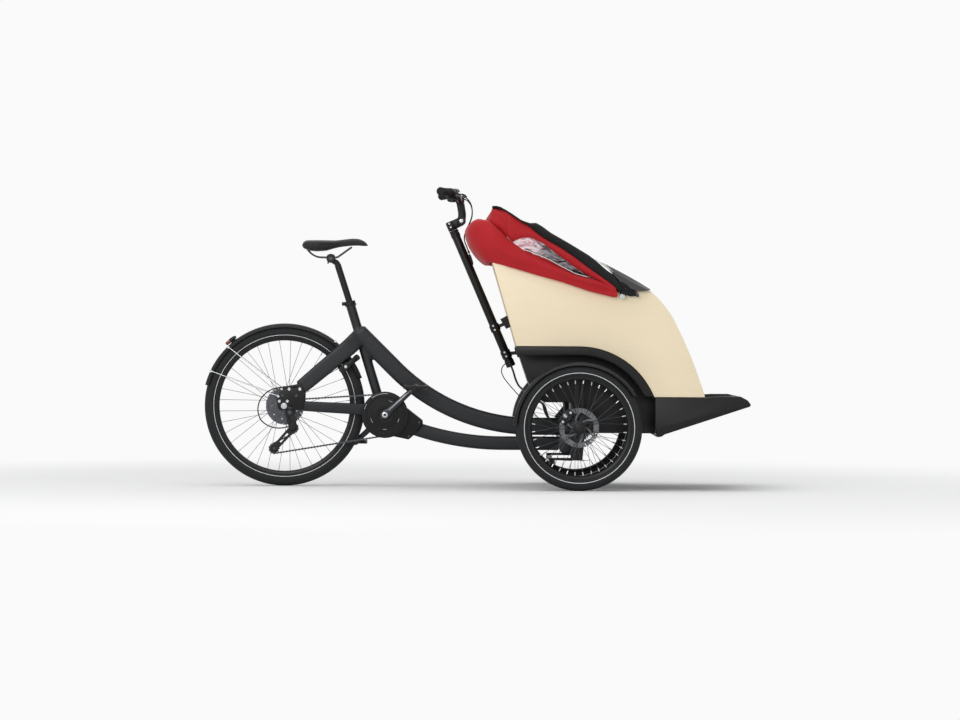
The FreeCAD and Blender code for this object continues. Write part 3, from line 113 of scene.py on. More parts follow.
# Tone: broad cloudy change of colour and roughness, with a finer speckle on top.
toneGroup, given, put = newGroup("tone", [("Vector", vectorSocket, None), ("Colour", colourSocket,
    (1, 1, 1, 1)), ("Size", floatSocket, 6.0), ("Spread", floatSocket, 0.12), ("Roughness", floatSocket,
    0.5), ("Rough Spread", floatSocket, 0.08)], [("Colour", colourSocket), ("Roughness", floatSocket)])
broad = addNode(toneGroup, "ShaderNodeTexNoise", Vector=given["Vector"], Scale=given["Size"], Detail=4.0,
    Roughness=0.6)
fineSize = reckon(toneGroup, "MULTIPLY", given["Size"], 14.0)
speckle = addNode(toneGroup, "ShaderNodeTexNoise", Vector=given["Vector"], Scale=fineSize, Detail=3.0)
cloud = blended(toneGroup, 0.35, broad.outputs[0], speckle.outputs[0], "FLOAT")
away = reckon(toneGroup, "SUBTRACT", cloud, 0.5)
gain = reckon(toneGroup, "MULTIPLY_ADD", away, reckon(toneGroup, "MULTIPLY", given["Spread"], 4.0), 1.0)
scaled = addNode(toneGroup, "ShaderNodeVectorMath", {"operation": "SCALE"},
    i0=given["Colour"], Scale=gain)
toneGroup.links.new(scaled.outputs[0], put["Colour"])
rough = reckon(toneGroup, "MULTIPLY_ADD", away, reckon(toneGroup, "MULTIPLY", given["Rough Spread"], 4.0),
    given["Roughness"], clamp=True)
toneGroup.links.new(rough, put["Roughness"])

# Grain: the pebbled skin of moulded plastic, rubber and paint, as a height.
grainGroup, given, put = newGroup("grain", [("Vector", vectorSocket, None), ("Size", floatSocket, 900.0),
    ("Pebble", floatSocket, 0.5)], [("Height", floatSocket)])
pebbles = addNode(grainGroup, "ShaderNodeTexVoronoi", {"feature": "SMOOTH_F1"}, Vector=given["Vector"],
    Scale=given["Size"])
ripple = addNode(grainGroup, "ShaderNodeTexNoise", Vector=given["Vector"],
    Scale=given["Size"], Detail=2.0)
height = blended(grainGroup, given["Pebble"], ripple.outputs[0], pebbles.outputs[0], "FLOAT")
grainGroup.links.new(height, put["Height"])

# Weave: warp and weft threads crossing, from two sine waves of the plane that the threads lie in.
weaveGroup, given, put = newGroup("weave", [("Vector", vectorSocket, None), ("Threads", floatSocket,
    1400.0)], [("Height", floatSocket), ("Shade", floatSocket)])
axes = addNode(weaveGroup, "ShaderNodeSeparateXYZ", i0=given["Vector"])
across = reckon(weaveGroup, "ADD", axes.outputs[0], reckon(weaveGroup, "MULTIPLY", axes.outputs[1], 1.0))
along = reckon(weaveGroup, "ADD", axes.outputs[2], reckon(weaveGroup, "MULTIPLY", axes.outputs[1], 0.37))
warp = reckon(weaveGroup, "SINE", reckon(weaveGroup, "MULTIPLY", across, given["Threads"]))
weft = reckon(weaveGroup, "SINE", reckon(weaveGroup, "MULTIPLY", along, given["Threads"]))
crossing = reckon(weaveGroup, "MULTIPLY_ADD", reckon(weaveGroup, "MULTIPLY", warp, weft), 0.5, 0.5)
weaveGroup.links.new(crossing, put["Height"])
weaveGroup.links.new(crossing, put["Shade"])


def mm(rows):
    # rows of millimetres as rows of metres
    return [tuple(value / 1000 for value in row) for row in rows]


def linear(red, green, blue):
    # screen colour 0..255 to the linear values a shader takes
    shares = [value / 255 for value in (red, green, blue)]
    return tuple(((share + 0.055) / 1.055) ** 2.4 if share > 0.04045 else share / 12.92
        for share in shares) + (1.0,)


def newFinish(name, shader):
    # a material with its Principled shader's plain numbers set on the shader's own sockets
    material = bpy.data.materials.new(name)
    material.use_nodes = True
    tree = material.node_tree
    principled = tree.nodes["Principled BSDF"]
    for label, value in shader.items():
        principled.inputs[label].default_value = value
    spots = addNode(tree, "ShaderNodeTexCoord").outputs["Object"]
    return material, tree, principled, spots


def coated(name, colour, roughness, tone, grain, shader):
    # a painted, moulded or metal surface: tone on colour and roughness, grain as a bump
    material, tree, principled, spots = newFinish(name, shader)
    shade = addNode(tree, "ShaderNodeGroup", {"node_tree": toneGroup}, Vector=spots,
        Colour=linear(*colour), Size=tone["size"], Spread=tone["spread"], Roughness=roughness)
    feed(tree, shade, "Rough Spread", tone.get("rough", 0.06))
    tree.links.new(shade.outputs["Colour"], principled.inputs["Base Color"])
    tree.links.new(shade.outputs["Roughness"], principled.inputs["Roughness"])
    skin = addNode(tree, "ShaderNodeGroup", {"node_tree": grainGroup}, Vector=spots, Size=grain["size"],
        Pebble=grain["pebble"])
    bump = addNode(tree, "ShaderNodeBump", Height=skin.outputs["Height"], Strength=grain["strength"],
        Distance=grain.get("depth", 0.0002))
    tree.links.new(bump.outputs[0], principled.inputs["Normal"])
    return material


finishes = {
    "frame_paint": coated("framePaint", (27, 30, 34), 0.42, {"size": 5, "spread": 0.05}, {"size": 700,
        "pebble": 0.3, "strength": 0.12}, {"Specular IOR Level": 0.3, "Coat Weight": 0.08,
        "Coat Roughness": 0.3}),
    "steel": coated("steel", (196, 198, 200), 0.28, {"size": 9, "spread": 0.05}, {"size": 500,
        "pebble": 0.2, "strength": 0.06}, {"Metallic": 1.0}),
    "alloy": coated("alloy", (150, 152, 156), 0.36, {"size": 9, "spread": 0.06}, {"size": 600,
        "pebble": 0.4, "strength": 0.1}, {"Metallic": 1.0}),
    "black_paint": coated("blackPaint", (17, 17, 18), 0.38, {"size": 7, "spread": 0.05}, {"size": 800,
        "pebble": 0.2, "strength": 0.06}, {"Specular IOR Level": 0.28, "Coat Weight": 0.05}),
    "tyre_rubber": coated("tyreRubber", (33, 34, 35), 0.7, {"size": 12, "spread": 0.12, "rough": 0.08},
        {"size": 1100, "pebble": 0.7, "strength": 0.25}, {"Specular IOR Level": 0.25}),
    "grip_rubber": coated("gripRubber", (24, 24, 25), 0.66, {"size": 14, "spread": 0.1}, {"size": 1300,
        "pebble": 0.8, "strength": 0.3}, {"Specular IOR Level": 0.25}),
    "black_plastic": coated("blackPlastic", (20, 20, 21), 0.46, {"size": 8, "spread": 0.07},
        {"size": 1500, "pebble": 0.8, "strength": 0.22}, {"Specular IOR Level": 0.3}),
    "saddle_cover": coated("saddleCover", (24, 24, 25), 0.46, {"size": 14, "spread": 0.08}, {"size": 900,
        "pebble": 0.9, "strength": 0.35, "depth": 0.0004}, {"Specular IOR Level": 0.35,
        "Sheen Weight": 0.05}),
    "lamp_red": coated("lampRed", (120, 12, 14), 0.16, {"size": 20, "spread": 0.1}, {"size": 260,
        "pebble": 0.9, "strength": 0.3}, {"Coat Weight": 0.8, "Coat Roughness": 0.05}),
}

# Mesh helpers: a shape is a grid of points worked out with numpy, and its faces


def gridFaces(rows, columns, loopRows=False, loopColumns=False):
    # the four-sided faces between neighbouring grid points, going round where a direction closes on
    # itself
    row = np.arange(rows if loopRows else rows - 1)[:, None]
    column = np.arange(columns if loopColumns else columns - 1)[None, :]
    nextRow, nextColumn = (row + 1) % rows, (column + 1) % columns
    corners = (row * columns + column, nextRow * columns + column, nextRow * columns + nextColumn,
        row * columns + nextColumn)
    return np.stack([np.broadcast_to(corner, (len(row), column.shape[1])) for corner in corners],
        -1).reshape(-1, 4)


def together(shapes):
    # several shapes as one: the points in a row, each one's faces moved up by the points before it
    points, faces, start = [], [], 0
    for spots, groups in shapes:
        points.append(np.asarray(spots, float).reshape(-1, 3))
        faces += [group + start for group in groups]
        start += len(points[-1])
    return np.concatenate(points), faces


def newPiece(name, shape, body, slot, nodes=(), angle=38, closed=True, finish=None):
    # a mesh object from points and groups of faces; shading turns sharp where faces meet at more than the
    # angle
    points, faces = shape
    mesh = bpy.data.meshes.new(name)
    mesh.from_pydata(np.asarray(points).reshape(-1, 3).tolist(), [], [face for group in faces
        for face in group.tolist()])
    held = bpy.data.objects.new(name, mesh)
    bpy.context.scene.collection.objects.link(held)
    return dress(held, body, slot, nodes, angle, closed, finish=finish)


def dress(held, body, slot, nodes=(), angle=38, closed=True, finish=None):
    # shading, finish, the body that carries the piece and the CAD parts it stands for; the slot gives the
    # usual finish
    mesh = held.data
    if closed:
        work = bmesh.new()
        work.from_mesh(mesh)
        bmesh.ops.recalc_face_normals(work, faces=work.faces)
        work.to_mesh(mesh)
        work.free()
    mesh.shade_smooth()
    mesh.set_sharp_from_angle(angle=math.radians(angle))
    mesh.materials.clear()
    mesh.materials.append(finish or finishes[slot])
    if body:
        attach(held, body)
    if nodes:
        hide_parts(*nodes)
    return held


def settled(held):
    # the object's modifiers worked into its mesh
    bpy.context.view_layer.update()
    done = bpy.data.meshes.new_from_object(held.evaluated_get(bpy.context.evaluated_depsgraph_get()))
    held.modifiers.clear()
    held.data = done
    return held


def turnedShape(profile, centre, sides=48, first=0.0):
    # each (radius, place) of the profile goes once round the Y axis through the centre; a zero radius
    # closes the pole
    profile = np.asarray(profile, float)
    angles = np.linspace(0, 2 * np.pi, sides, endpoint=False) + first
    x = profile[:, 0][None, :] * np.cos(angles)[:, None]
    z = profile[:, 0][None, :] * np.sin(angles)[:, None]
    y = np.broadcast_to(profile[:, 1][None, :], x.shape)
    return np.stack([x, y, z], -1).reshape(-1, 3) + np.asarray(centre, float), [gridFaces(sides,
        len(profile), True)]


def ringShape(profile, centre, sides=48):
    # the same for a profile that is itself a closed loop
    spots, _ = turnedShape(profile, centre, sides)
    return spots, [gridFaces(sides, len(profile), True, True)]


def closedEnds(rows, columns, grid):
    # caps for a tube: the first and the last ring, each as one many-sided face
    ring = np.arange(columns)
    return grid + [ring[None, ::-1], ring[None, :] + (rows - 1) * columns]


def eased(points, count):
    # a smooth line through the points: Catmull-Rom pieces, then points evenly spread along it
    points = np.asarray(points, float)
    padded = np.vstack([2 * points[0] - points[1], points, 2 * points[-1] - points[-2]])
    share = np.linspace(0, 1, 24, endpoint=False)[:, None]
    before, here, after, beyond = (padded[k:len(padded) - 3 + k][:, None, :] for k in range(4))
    curve = 0.5 * (2 * here + (after - before) * share + (2 * before - 5 * here + 4 * after - beyond) *
        share ** 2 + (3 * here - before - 3 * after + beyond) * share ** 3)
    curve = np.vstack([curve.reshape(-1, 3), points[-1]])
    length = np.concatenate([[0], np.cumsum(np.linalg.norm(np.diff(curve, axis=0), axis=1))])
    even = np.linspace(0, length[-1], count)
    return np.stack([np.interp(even, length, curve[:, axis]) for axis in range(3)], -1)


def carried(path, section, side=(0, 1, 0), scale=None):
    # a closed section (across, up) set square to the path at each of its points; across stays near the
    # side direction
    path, section = np.asarray(path, float), np.asarray(section, float)
    along = np.gradient(path, axis=0)
    along /= np.linalg.norm(along, axis=1)[:, None]
    across = np.asarray(side, float)[None, :] - along * (along @ np.asarray(side, float))[:, None]
    across /= np.linalg.norm(across, axis=1)[:, None]
    up = np.cross(along, across)
    scale = np.ones((len(path), 2)) if scale is None else np.asarray(scale, float).reshape(len(path),
        -1) * np.ones((1, 2))
    spots = (path[:, None, :] + across[:, None, :] * (section[None, :, 0] * scale[:, 0:1])[:, :, None] +
        up[:, None, :] * (section[None, :, 1] * scale[:, 1:2])[:, :, None])
    return spots.reshape(-1, 3), closedEnds(len(path), len(section), [gridFaces(len(path), len(section),
        False, True)])


def oval(wide, high, sides=16, power=2.0):
    # a closed section between an ellipse (power 2) and a rounded rectangle (power 4 and more)
    angles = np.linspace(0, 2 * np.pi, sides, endpoint=False)
    cosine, sine = np.cos(angles), np.sin(angles)
    return np.stack([wide * np.sign(cosine) * np.abs(cosine) ** (2 / power), high * np.sign(sine) *
        np.abs(sine) ** (2 / power)], -1)


def wireShape(points, radius, sides=10, side=(0, 1, 0), count=None):
    # a round wire through the points, straight between them unless a count asks for a smooth line
    path = eased(points, count) if count else np.asarray(points, float)
    return carried(path, oval(radius, radius, sides), side)


def rodShape(start, end, radius, sides=16, chamfer=0.0):
    # a round bar between two points, with a small bevel at each end
    start, end = np.asarray(start, float), np.asarray(end, float)
    along = (end - start) / np.linalg.norm(end - start)
    side = (0, 1, 0) if abs(along[1]) < 0.9 else (1, 0, 0)
    if not chamfer:
        return carried([start, end], oval(radius, radius, sides), side)
    path = [start, start + along * chamfer, end - along * chamfer, end]
    return carried(path, oval(radius, radius, sides), side, [1 - chamfer / radius, 1, 1,
        1 - chamfer / radius])


def blockShape(low, high, bevel):
    # a box whose twelve edges are bevelled: three overlapping slabs' corners, shared by 26 faces
    low, high = np.asarray(low, float), np.asarray(high, float)
    made = bmesh.new()
    bmesh.ops.create_cube(made, size=1.0)
    for vertex in made.verts:
        vertex.co = Vector((low + high) / 2 + np.array(vertex.co) * (high - low))
    bmesh.ops.bevel(made, geom=made.edges[:], offset=bevel, segments=2, affect="EDGES", profile=0.6)
    made.verts.index_update()
    shape = (np.array([vertex.co for vertex in made.verts]),
        [np.array([[vertex.index for vertex in face.verts]]) for face in made.faces])
    made.free()
    return shape


def placed(shape, spot, turn=0.0, axis="Y", mirror=False):
    # a shape turned in degrees about one axis, then moved to its spot
    points, faces = shape
    points = np.asarray(points, float).reshape(-1, 3)
    angle = math.radians(turn)
    first, second = {"X": (1, 2), "Y": (2, 0), "Z": (0, 1)}[axis]
    rolled = points.copy()
    rolled[:, first] = points[:, first] * math.cos(angle) - points[:, second] * math.sin(angle)
    rolled[:, second] = points[:, first] * math.sin(angle) + points[:, second] * math.cos(angle)
    rolled = rolled + np.asarray(spot, float)
    if mirror:
        rolled[:, 1] *= -1
    return rolled, faces


def cutPlate(outlines, low, high, bevel=0.0003, resolution=2):
    # a flat plate in X and Z from y = low to high; the first outline is its edge, the others are holes
    # through it
    curve = bpy.data.curves.new("plate", "CURVE")
    curve.dimensions, curve.fill_mode = "2D", "BOTH"
    curve.extrude = (high - low) / 2 - bevel
    curve.bevel_depth, curve.bevel_resolution = bevel, 1
    for outline in outlines:
        spline = curve.splines.new("POLY")
        spline.points.add(len(outline) - 1)
        flat = np.zeros((len(outline), 4))
        flat[:, :2] = outline
        flat[:, 3] = 1
        spline.points.foreach_set("co", flat.ravel())
        spline.use_cyclic_u = True
    held = bpy.data.objects.new("plate", curve)
    mesh = bpy.data.meshes.new_from_object(held)
    points = np.zeros(len(mesh.vertices) * 3)
    mesh.vertices.foreach_get("co", points)
    points = points.reshape(-1, 3)
    faces = [np.array([list(face.vertices)]) for face in mesh.polygons]
    bpy.data.objects.remove(held)
    bpy.data.curves.remove(curve)
    bpy.data.meshes.remove(mesh)
    return np.stack([points[:, 0], (low + high) / 2 - points[:, 2], points[:, 1]], -1), faces


def circle(centre, radius, sides=12, first=0.0):
    angles = np.linspace(0, 2 * np.pi, sides, endpoint=False) + first
    return np.stack([centre[0] + radius * np.cos(angles), centre[1] + radius * np.sin(angles)], -1)


def around(radius, angle):
    # a point at a distance and an angle in degrees, in X and Z
    return np.array([radius * math.cos(math.radians(angle)), radius * math.sin(math.radians(angle))])


def boltShape(spot, radius, high, outward=1.0, sides=20):
    # a domed socket-head bolt on the Y axis: a turned head with a round recess
    profile = [(0, high * 0.45), (radius * 0.5, high * 0.45), (radius * 0.5, high * 0.96), (radius * 0.82,
        high), (radius, high * 0.75), (radius, 0), (0, 0)]
    profile = [(reach, place * outward) for reach, place in profile]
    return turnedShape(profile, spot, sides)


def softened(label, width, slot, body, segments=2, angle=28, finish=None):
    # a copy of a CAD part with its loose triangles merged, flat faces made whole and its edges rounded
    mesh = frame["nodes"][label].data.copy()
    held = bpy.data.objects.new(label + "_soft", mesh)
    bpy.context.scene.collection.objects.link(held)
    work = bmesh.new()
    work.from_mesh(mesh)
    bmesh.ops.remove_doubles(work, verts=work.verts, dist=1e-5)
    bmesh.ops.dissolve_limit(work, angle_limit=math.radians(1.5), verts=work.verts, edges=work.edges)
    work.to_mesh(mesh)
    work.free()
    bevel = held.modifiers.new("edges", "BEVEL")
    bevel.width, bevel.segments = width, segments
    bevel.limit_method, bevel.angle_limit = "ANGLE", math.radians(angle)
    bevel.use_clamp_overlap = False
    settled(held)
    return dress(held, body, slot, (label,), angle=40, closed=False, finish=finish)

# Wheels

reflective = coated("reflectiveLine", (226, 228, 230), 0.42, {"size": 9, "spread": 0.03}, {"size": 1800,
    "pebble": 0.8, "strength": 0.1}, {})
darkSteel = coated("darkSteel", (74, 76, 80), 0.4, {"size": 12, "spread": 0.08}, {"size": 600,
    "pebble": 0.3, "strength": 0.08}, {"Metallic": 0.9})

spokeSteel = coated("spokeSteel", (70, 72, 75), 0.34, {"size": 14, "spread": 0.05}, {"size": 600,
    "pebble": 0.3, "strength": 0.05}, {"Metallic": 0.85})
rotorSteel = coated("rotorSteel", (112, 114, 117), 0.36, {"size": 30, "spread": 0.12}, {"size": 900,
    "pebble": 0.3, "strength": 0.12}, {"Metallic": 0.95})

tyreSettings = {"width": 0.05, "depth": 0.045, "grooveDeep": 0.0013, "pitch": 0.017, "slant": 60.0,
    "steps": 36, "perGroove": 6}
wheelRows = [("front_left", 1, 0.2215), ("front_right", -1, 0.2215), ("rear", 0, 0.2915)]


def tyreShape(radius, centre):
    # a round section about the wheel; slanted grooves sink into the tread, fading out towards the
    # sidewalls
    half = tyreSettings["width"] / 2
    grooves = round(2 * math.pi * radius / tyreSettings["pitch"])
    rows = grooves * tyreSettings["perGroove"]
    lean = np.linspace(-math.radians(142), math.radians(142), tyreSettings["steps"])
    turn = np.linspace(0, 2 * np.pi, rows, endpoint=False)
    across = half * np.sin(lean)
    wave = np.cos(turn[:, None] * grooves + np.abs(across)[None, :] * tyreSettings["slant"] *
        np.sign(across)[None, :] * 4)
    tread = np.clip((0.95 - np.abs(lean)) / 0.15, 0, 1) * (np.abs(lean) > 0.16)
    sink = tyreSettings["grooveDeep"] * np.clip((wave - 0.45) * 3, 0, 1) * tread[None, :]
    sink = sink + 0.0011 * ((np.abs(lean) > 0.42) & (np.abs(lean) < 0.52))[None,
        :] + 0.0009 * (np.abs(lean) < 0.07)[None, :]
    squareness = 1 + 0.035 * np.exp(-((np.abs(lean) - 0.75) / 0.3) ** 2)
    reach = radius - half + (half * squareness)[None, :] * np.cos(lean)[None, :] - sink
    reach = np.minimum(reach, radius)
    spots = np.stack([reach * np.cos(turn)[:, None], np.broadcast_to((across * squareness)[None, :],
        reach.shape), reach * np.sin(turn)[:, None]], -1).reshape(-1, 3)
    return spots + np.asarray(centre), [gridFaces(rows, len(lean), True, True)]


def lineShape(radius, at, centre, wide=0.0024):
    # a thin band lying on both sidewalls at one distance from the axle
    half = tyreSettings["width"] / 2
    middle = radius - half
    bands = []
    for sign in (1, -1):
        lean = math.acos((at - middle) / half)
        out = sign * half * math.sin(lean)
        rise, over = (at - middle) / half, math.sin(lean) * sign
        slope = np.array([-math.sin(lean), sign * math.cos(lean)])
        corners = [(at + slope[0] * u + rise * v, out + slope[1] * u + over * v) for u,
            v in ((-wide / 2, -0.0002), (wide / 2, -0.0002), (wide / 2 * 0.9, 0.0006),
            (-wide / 2 * 0.9, 0.0006))]
        bands.append(ringShape(corners, centre, 160))
    return together(bands)


def rimShape(outer, inner, centre):
    # a box rim with hooked edges, a shoulder and a narrow rounded inner wall
    half = 0.0148
    profile = [(outer + 0.001, half - 0.0012), (outer + 0.001, half), (outer - 0.006, half + 0.0002),
        (outer - 0.009, half - 0.0016), (inner + 0.005, half - 0.0026), (inner + 0.001, half - 0.0068),
        (inner, 0.004), (inner, -0.004), (inner + 0.001, 0.0068 - half), (inner + 0.005, 0.0026 - half),
        (outer - 0.009, 0.0016 - half), (outer - 0.006, -half - 0.0002), (outer + 0.001, -half),
        (outer + 0.001, 0.0012 - half), (outer - 0.003, 0.002 - half), (outer - 0.006, 0), (outer - 0.003,
        half - 0.002)]
    return ringShape(profile, centre, 180)


def lacing(rimRadius, flanges, rootRadius, centre, sign):
    # where each spoke starts at its flange and ends at the rim: three crossings, leaning each way in turn
    each = 18
    step = 2 * np.pi / each
    number = np.arange(each)
    lead = np.where(number % 2, 1, -1)
    starts, ends = [], []
    for flange, (across, rimSide) in enumerate(flanges):
        hole = (number + 0.5) * step
        far = hole + lead * 3 * step + (flange - 0.5) * step / 2
        starts.append(np.stack([rootRadius * np.cos(hole), across + lead * 0.0018,
            rootRadius * np.sin(hole)], -1))
        ends.append(np.stack([rimRadius * np.cos(far), np.full(each, rimSide),
            rimRadius * np.sin(far)], -1))
    starts, ends = np.concatenate(starts), np.concatenate(ends)
    if sign < 0:
        starts, ends = starts * [-1, -1, 1], ends * [-1, -1, 1]
    return starts + centre, ends + centre


def barsBetween(starts, ends, radius, sides=8):
    # a round bar between each pair of points
    return together([rodShape(start, end, radius, sides) for start, end in zip(starts, ends)])


hubSettings = {
    "front": {"steps": mm([(9, 41), (15.5, 40.8), (18.5, 39), (19.5, 36), (19.5, 30), (21.5, 28),
        (25, 26.5), (25, 21.5), (21, 20.5), (14.5, 14), (12.5, 4), (12.5, -8), (14.5, -16.5),
        (22, -17.5), (25.2, -18.5), (25.2, -27.5), (20.5, -28.5), (9, -28.5)]), "flanges": [(-0.02,
        -0.002), (0.024, 0.002)]},
    "rear": {"steps": mm([(6.2, 61), (10.5, 61), (11.5, 58), (11.5, 41.5), (21, 41), (21.5, 37.8),
        (25, 37.2), (25, 27.5), (18, 26), (15.5, 20), (14.8, 4), (16.5, -11), (25, -12.2), (25, -17.8),
        (16.9, -18.2), (16.9, -60.5), (6.2, -61)]), "flanges": [(-0.015, -0.002), (0.03, 0.002)]},
}
for label, sign, lineRadius in wheelRows:
    low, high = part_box("tyre_" + label)
    centre = np.array([(low.x + high.x) / 2, (low.y + high.y) / 2, (low.z + high.z) / 2])
    radius = (high.z - low.z) / 2
    body = "wheel_" + label
    kind = "rear" if sign == 0 else "front"
    newPiece("tyre_" + label + "_tread", tyreShape(radius, centre), body, "tyre_rubber",
        ("tyre_" + label,), 50)
    newPiece("sidewall_line_" + label, lineShape(radius, lineRadius, centre), body, "tyre_rubber", (), 60,
        finish=reflective)
    rimOuter = radius - tyreSettings["depth"] + 0.004
    rimInner = radius - tyreSettings["depth"] - 0.0165
    newPiece("rim_" + label + "_hooked", rimShape(rimOuter, rimInner, centre), body, "black_paint",
        ("rim_" + label,), 32)
    facing = -1 if sign < 0 else 1
    starts, ends = lacing(rimInner, hubSettings[kind]["flanges"], 0.0215, centre, facing)
    along = (ends - starts) / np.linalg.norm(ends - starts, axis=1)[:, None]
    newPiece("spokes_" + label, barsBetween(starts - along * 0.002, ends - along * 0.006, 0.00088), body,
        "steel", finish=spokeSteel)
    newPiece("nipples_" + label, barsBetween(ends - along * 0.0135, ends + along * 0.002, 0.0022, 8),
        body, "steel")
    steps = [(reach, place * facing) for reach, place in hubSettings[kind]["steps"]]
    shell = ringShape(steps, centre, 54)
    newPiece("hub_" + label + "_shell", shell, body, "black_paint", ("hub_" + label,), 30)
print("wheels made")

# Frame: beam, seat tube and stays grow into each other at the cluster

frameSettings = {
    "cluster": (-0.4778, 0.632), "stayTop": (-0.473, 0.617), "seatFoot": (-0.3939, 0.372),
    "collar": (-0.5182, 0.757), "seatRadius": 0.02,
    "beam": {"slope": 44.9, "bend": 0.8, "level": 0.25, "end": 0.398, "wide": 0.025, "deep": 0.036},
    "lower": {"start": (-0.259, 0.242), "slope": 17.0, "bend": 1.125, "level": 0.18, "end": 0.345,
        "wide": 0.022, "deep": 0.0285},
    "voxel": 0.0036, "blendReach": 0.17,
}


def bentLine(start, slope, bend, level, end, count=60):
    # a straight run down at the slope, an arc of the bend's radius tangent to it and to the level, then
    # level to the end
    turn = math.radians(slope)
    knee = start[0] + (start[1] - level) / math.tan(turn)
    reach = bend * math.tan(turn / 2)
    first = np.array([knee - reach * math.cos(turn), level + reach * math.sin(turn)])
    sweep = np.linspace(turn, 0, count)
    arc = np.stack([knee + reach - bend * np.sin(sweep), level + bend - bend * np.cos(sweep)], -1)
    run = np.linspace(np.asarray(start), first, 10, endpoint=False)
    level = np.linspace(arc[-1], np.array([end, level]), 12)[1:]
    flat = np.vstack([run, arc, level])
    return np.stack([flat[:, 0], np.zeros(len(flat)), flat[:, 1]], -1)


def remeshed(shapes, name, voxel, near=None, reach=0.1, rounds=14):
    # closed shapes melted into one skin on a fine voxel grid, smoothed most close to a point
    points, faces = together(shapes)
    mesh = bpy.data.meshes.new(name)
    mesh.from_pydata(points.tolist(), [], [face for group in faces for face in group.tolist()])
    held = bpy.data.objects.new(name, mesh)
    bpy.context.scene.collection.objects.link(held)
    melt = held.modifiers.new("melt", "REMESH")
    melt.mode, melt.voxel_size = "VOXEL", voxel
    settled(held)
    spots = np.zeros(len(held.data.vertices) * 3)
    held.data.vertices.foreach_get("co", spots)
    spots = spots.reshape(-1, 3)
    even = held.modifiers.new("even", "SMOOTH")
    even.factor, even.iterations = 0.5, 3
    if near is not None:
        weights = np.clip(1.25 - np.linalg.norm(spots - np.asarray(near), axis=1) / reach, 0, 1)
        group = held.vertex_groups.new(name="near")
        for level in np.linspace(0.1, 1, 10):
            chosen = np.nonzero((weights >= level - 0.05) & (weights < level + 0.05))[0]
            group.add(chosen.tolist(), float(level), "REPLACE")
        soft = held.modifiers.new("soft", "SMOOTH")
        soft.factor, soft.iterations, soft.vertex_group = 0.6, rounds, "near"
    settled(held)
    return held


settings = frameSettings
beamLine = bentLine(settings["cluster"], count=50, **{key: settings["beam"][key] for key in ("slope",
    "bend", "level", "end")})
beamLine[0] += (beamLine[0] - beamLine[1]) * 0.35
beam = carried(beamLine, oval(settings["beam"]["wide"], settings["beam"]["deep"], 28, 4.5))
seatLow, seatHigh = settings["seatFoot"], settings["collar"]
seatTube = rodShape((seatLow[0], 0, seatLow[1] - 0.02), (seatHigh[0], 0, seatHigh[1]),
    settings["seatRadius"], 28)
clusterSpot = np.array([settings["cluster"][0], 0, settings["cluster"][1]])
stayTop = np.array([settings["stayTop"][0], 0, settings["stayTop"][1]])
stayEnd = np.array([-0.715, 0.062, 0.407])
stayAlong = np.array([stayEnd[0] - stayTop[0] + 0.01, 0, stayEnd[2] - stayTop[2] + 0.009])
stayAlong /= np.linalg.norm(stayAlong)
stays = []
for sign in (1, -1):
    stayBend = stayTop + stayAlong * 0.068 + np.array([0, 0.044, -0.004])
    line = np.array([stayTop - stayAlong * 0.012 + np.array([0, 0.01, 0]), stayTop + stayAlong * 0.02 +
        np.array([0, 0.022, 0]), stayBend, stayBend * 0.4 + stayEnd * 0.6, stayEnd])
    line = eased(line, 26)
    line[:, 1] *= sign
    share = np.linspace(0, 1, 26)
    stays.append(carried(line, oval(1, 1, 24, 4), (0, 1, 0), np.stack([0.009 - 0.002 * share,
        0.037 - 0.0075 * share], -1)))
cluster = remeshed([beam, seatTube] + stays, "frame_cluster", settings["voxel"], clusterSpot,
    settings["blendReach"])
dress(cluster, "chassis", "frame_paint", ("main_beam", "seat_tube", "rear_stays"), 60, False)

lower = settings["lower"]
lowerLine = bentLine(lower["start"], count=40, **{key: lower[key] for key in ("slope", "bend",
    "level", "end")})
newPiece("lower_tube_round", carried(lowerLine, oval(lower["wide"], lower["deep"], 28, 4.5)), "chassis",
    "frame_paint", ("lower_tube",), 50)

# Chainstays: flattened tubes from the drive unit to the dropout plates, tapering towards the back.
chainstays = []
for sign in (1, -1):
    line = eased(mm([(-389, 30, 309), (-474, 42, 317), (-600, 54.5, 323), (-734, 62.5, 330)]), 22)
    line[:, 1] *= sign
    share = np.linspace(0, 1, 22)
    chainstays.append(carried(line, oval(1, 1, 20, 3.5), (0, 1, 0), np.stack([0.007 - 0.0005 * share,
        0.024 - 0.005 * share], -1)))
newPiece("chainstays_round", together(chainstays), "chassis", "frame_paint", ("chainstays",), 50)

# Dropout plates with their bolts: four bright heads and two dark ones on each side.
dropoutSettings = {
    "bright": mm([(-763, 399), (-719, 399), (-803, 349), (-770, 349)]),
    "dark": [(-0.79, 0.373), (-0.734, 0.372)], "radius": 0.0062, "high": 0.0035, "face": 0.075,
}
plates = softened("dropout_plates", 0.0012, "black_paint", "chassis", 2)
for kind, finish, slotName in (("bright", finishes["steel"], "steel"), ("dark", darkSteel, "steel")):
    heads = []
    for sign in (1, -1):
        for x, z in dropoutSettings[kind]:
            heads.append(boltShape((x, sign * dropoutSettings["face"], z), dropoutSettings["radius"],
                dropoutSettings["high"], sign))
    newPiece("dropout_bolts_" + kind, together(heads), "chassis", slotName, finish=finish)

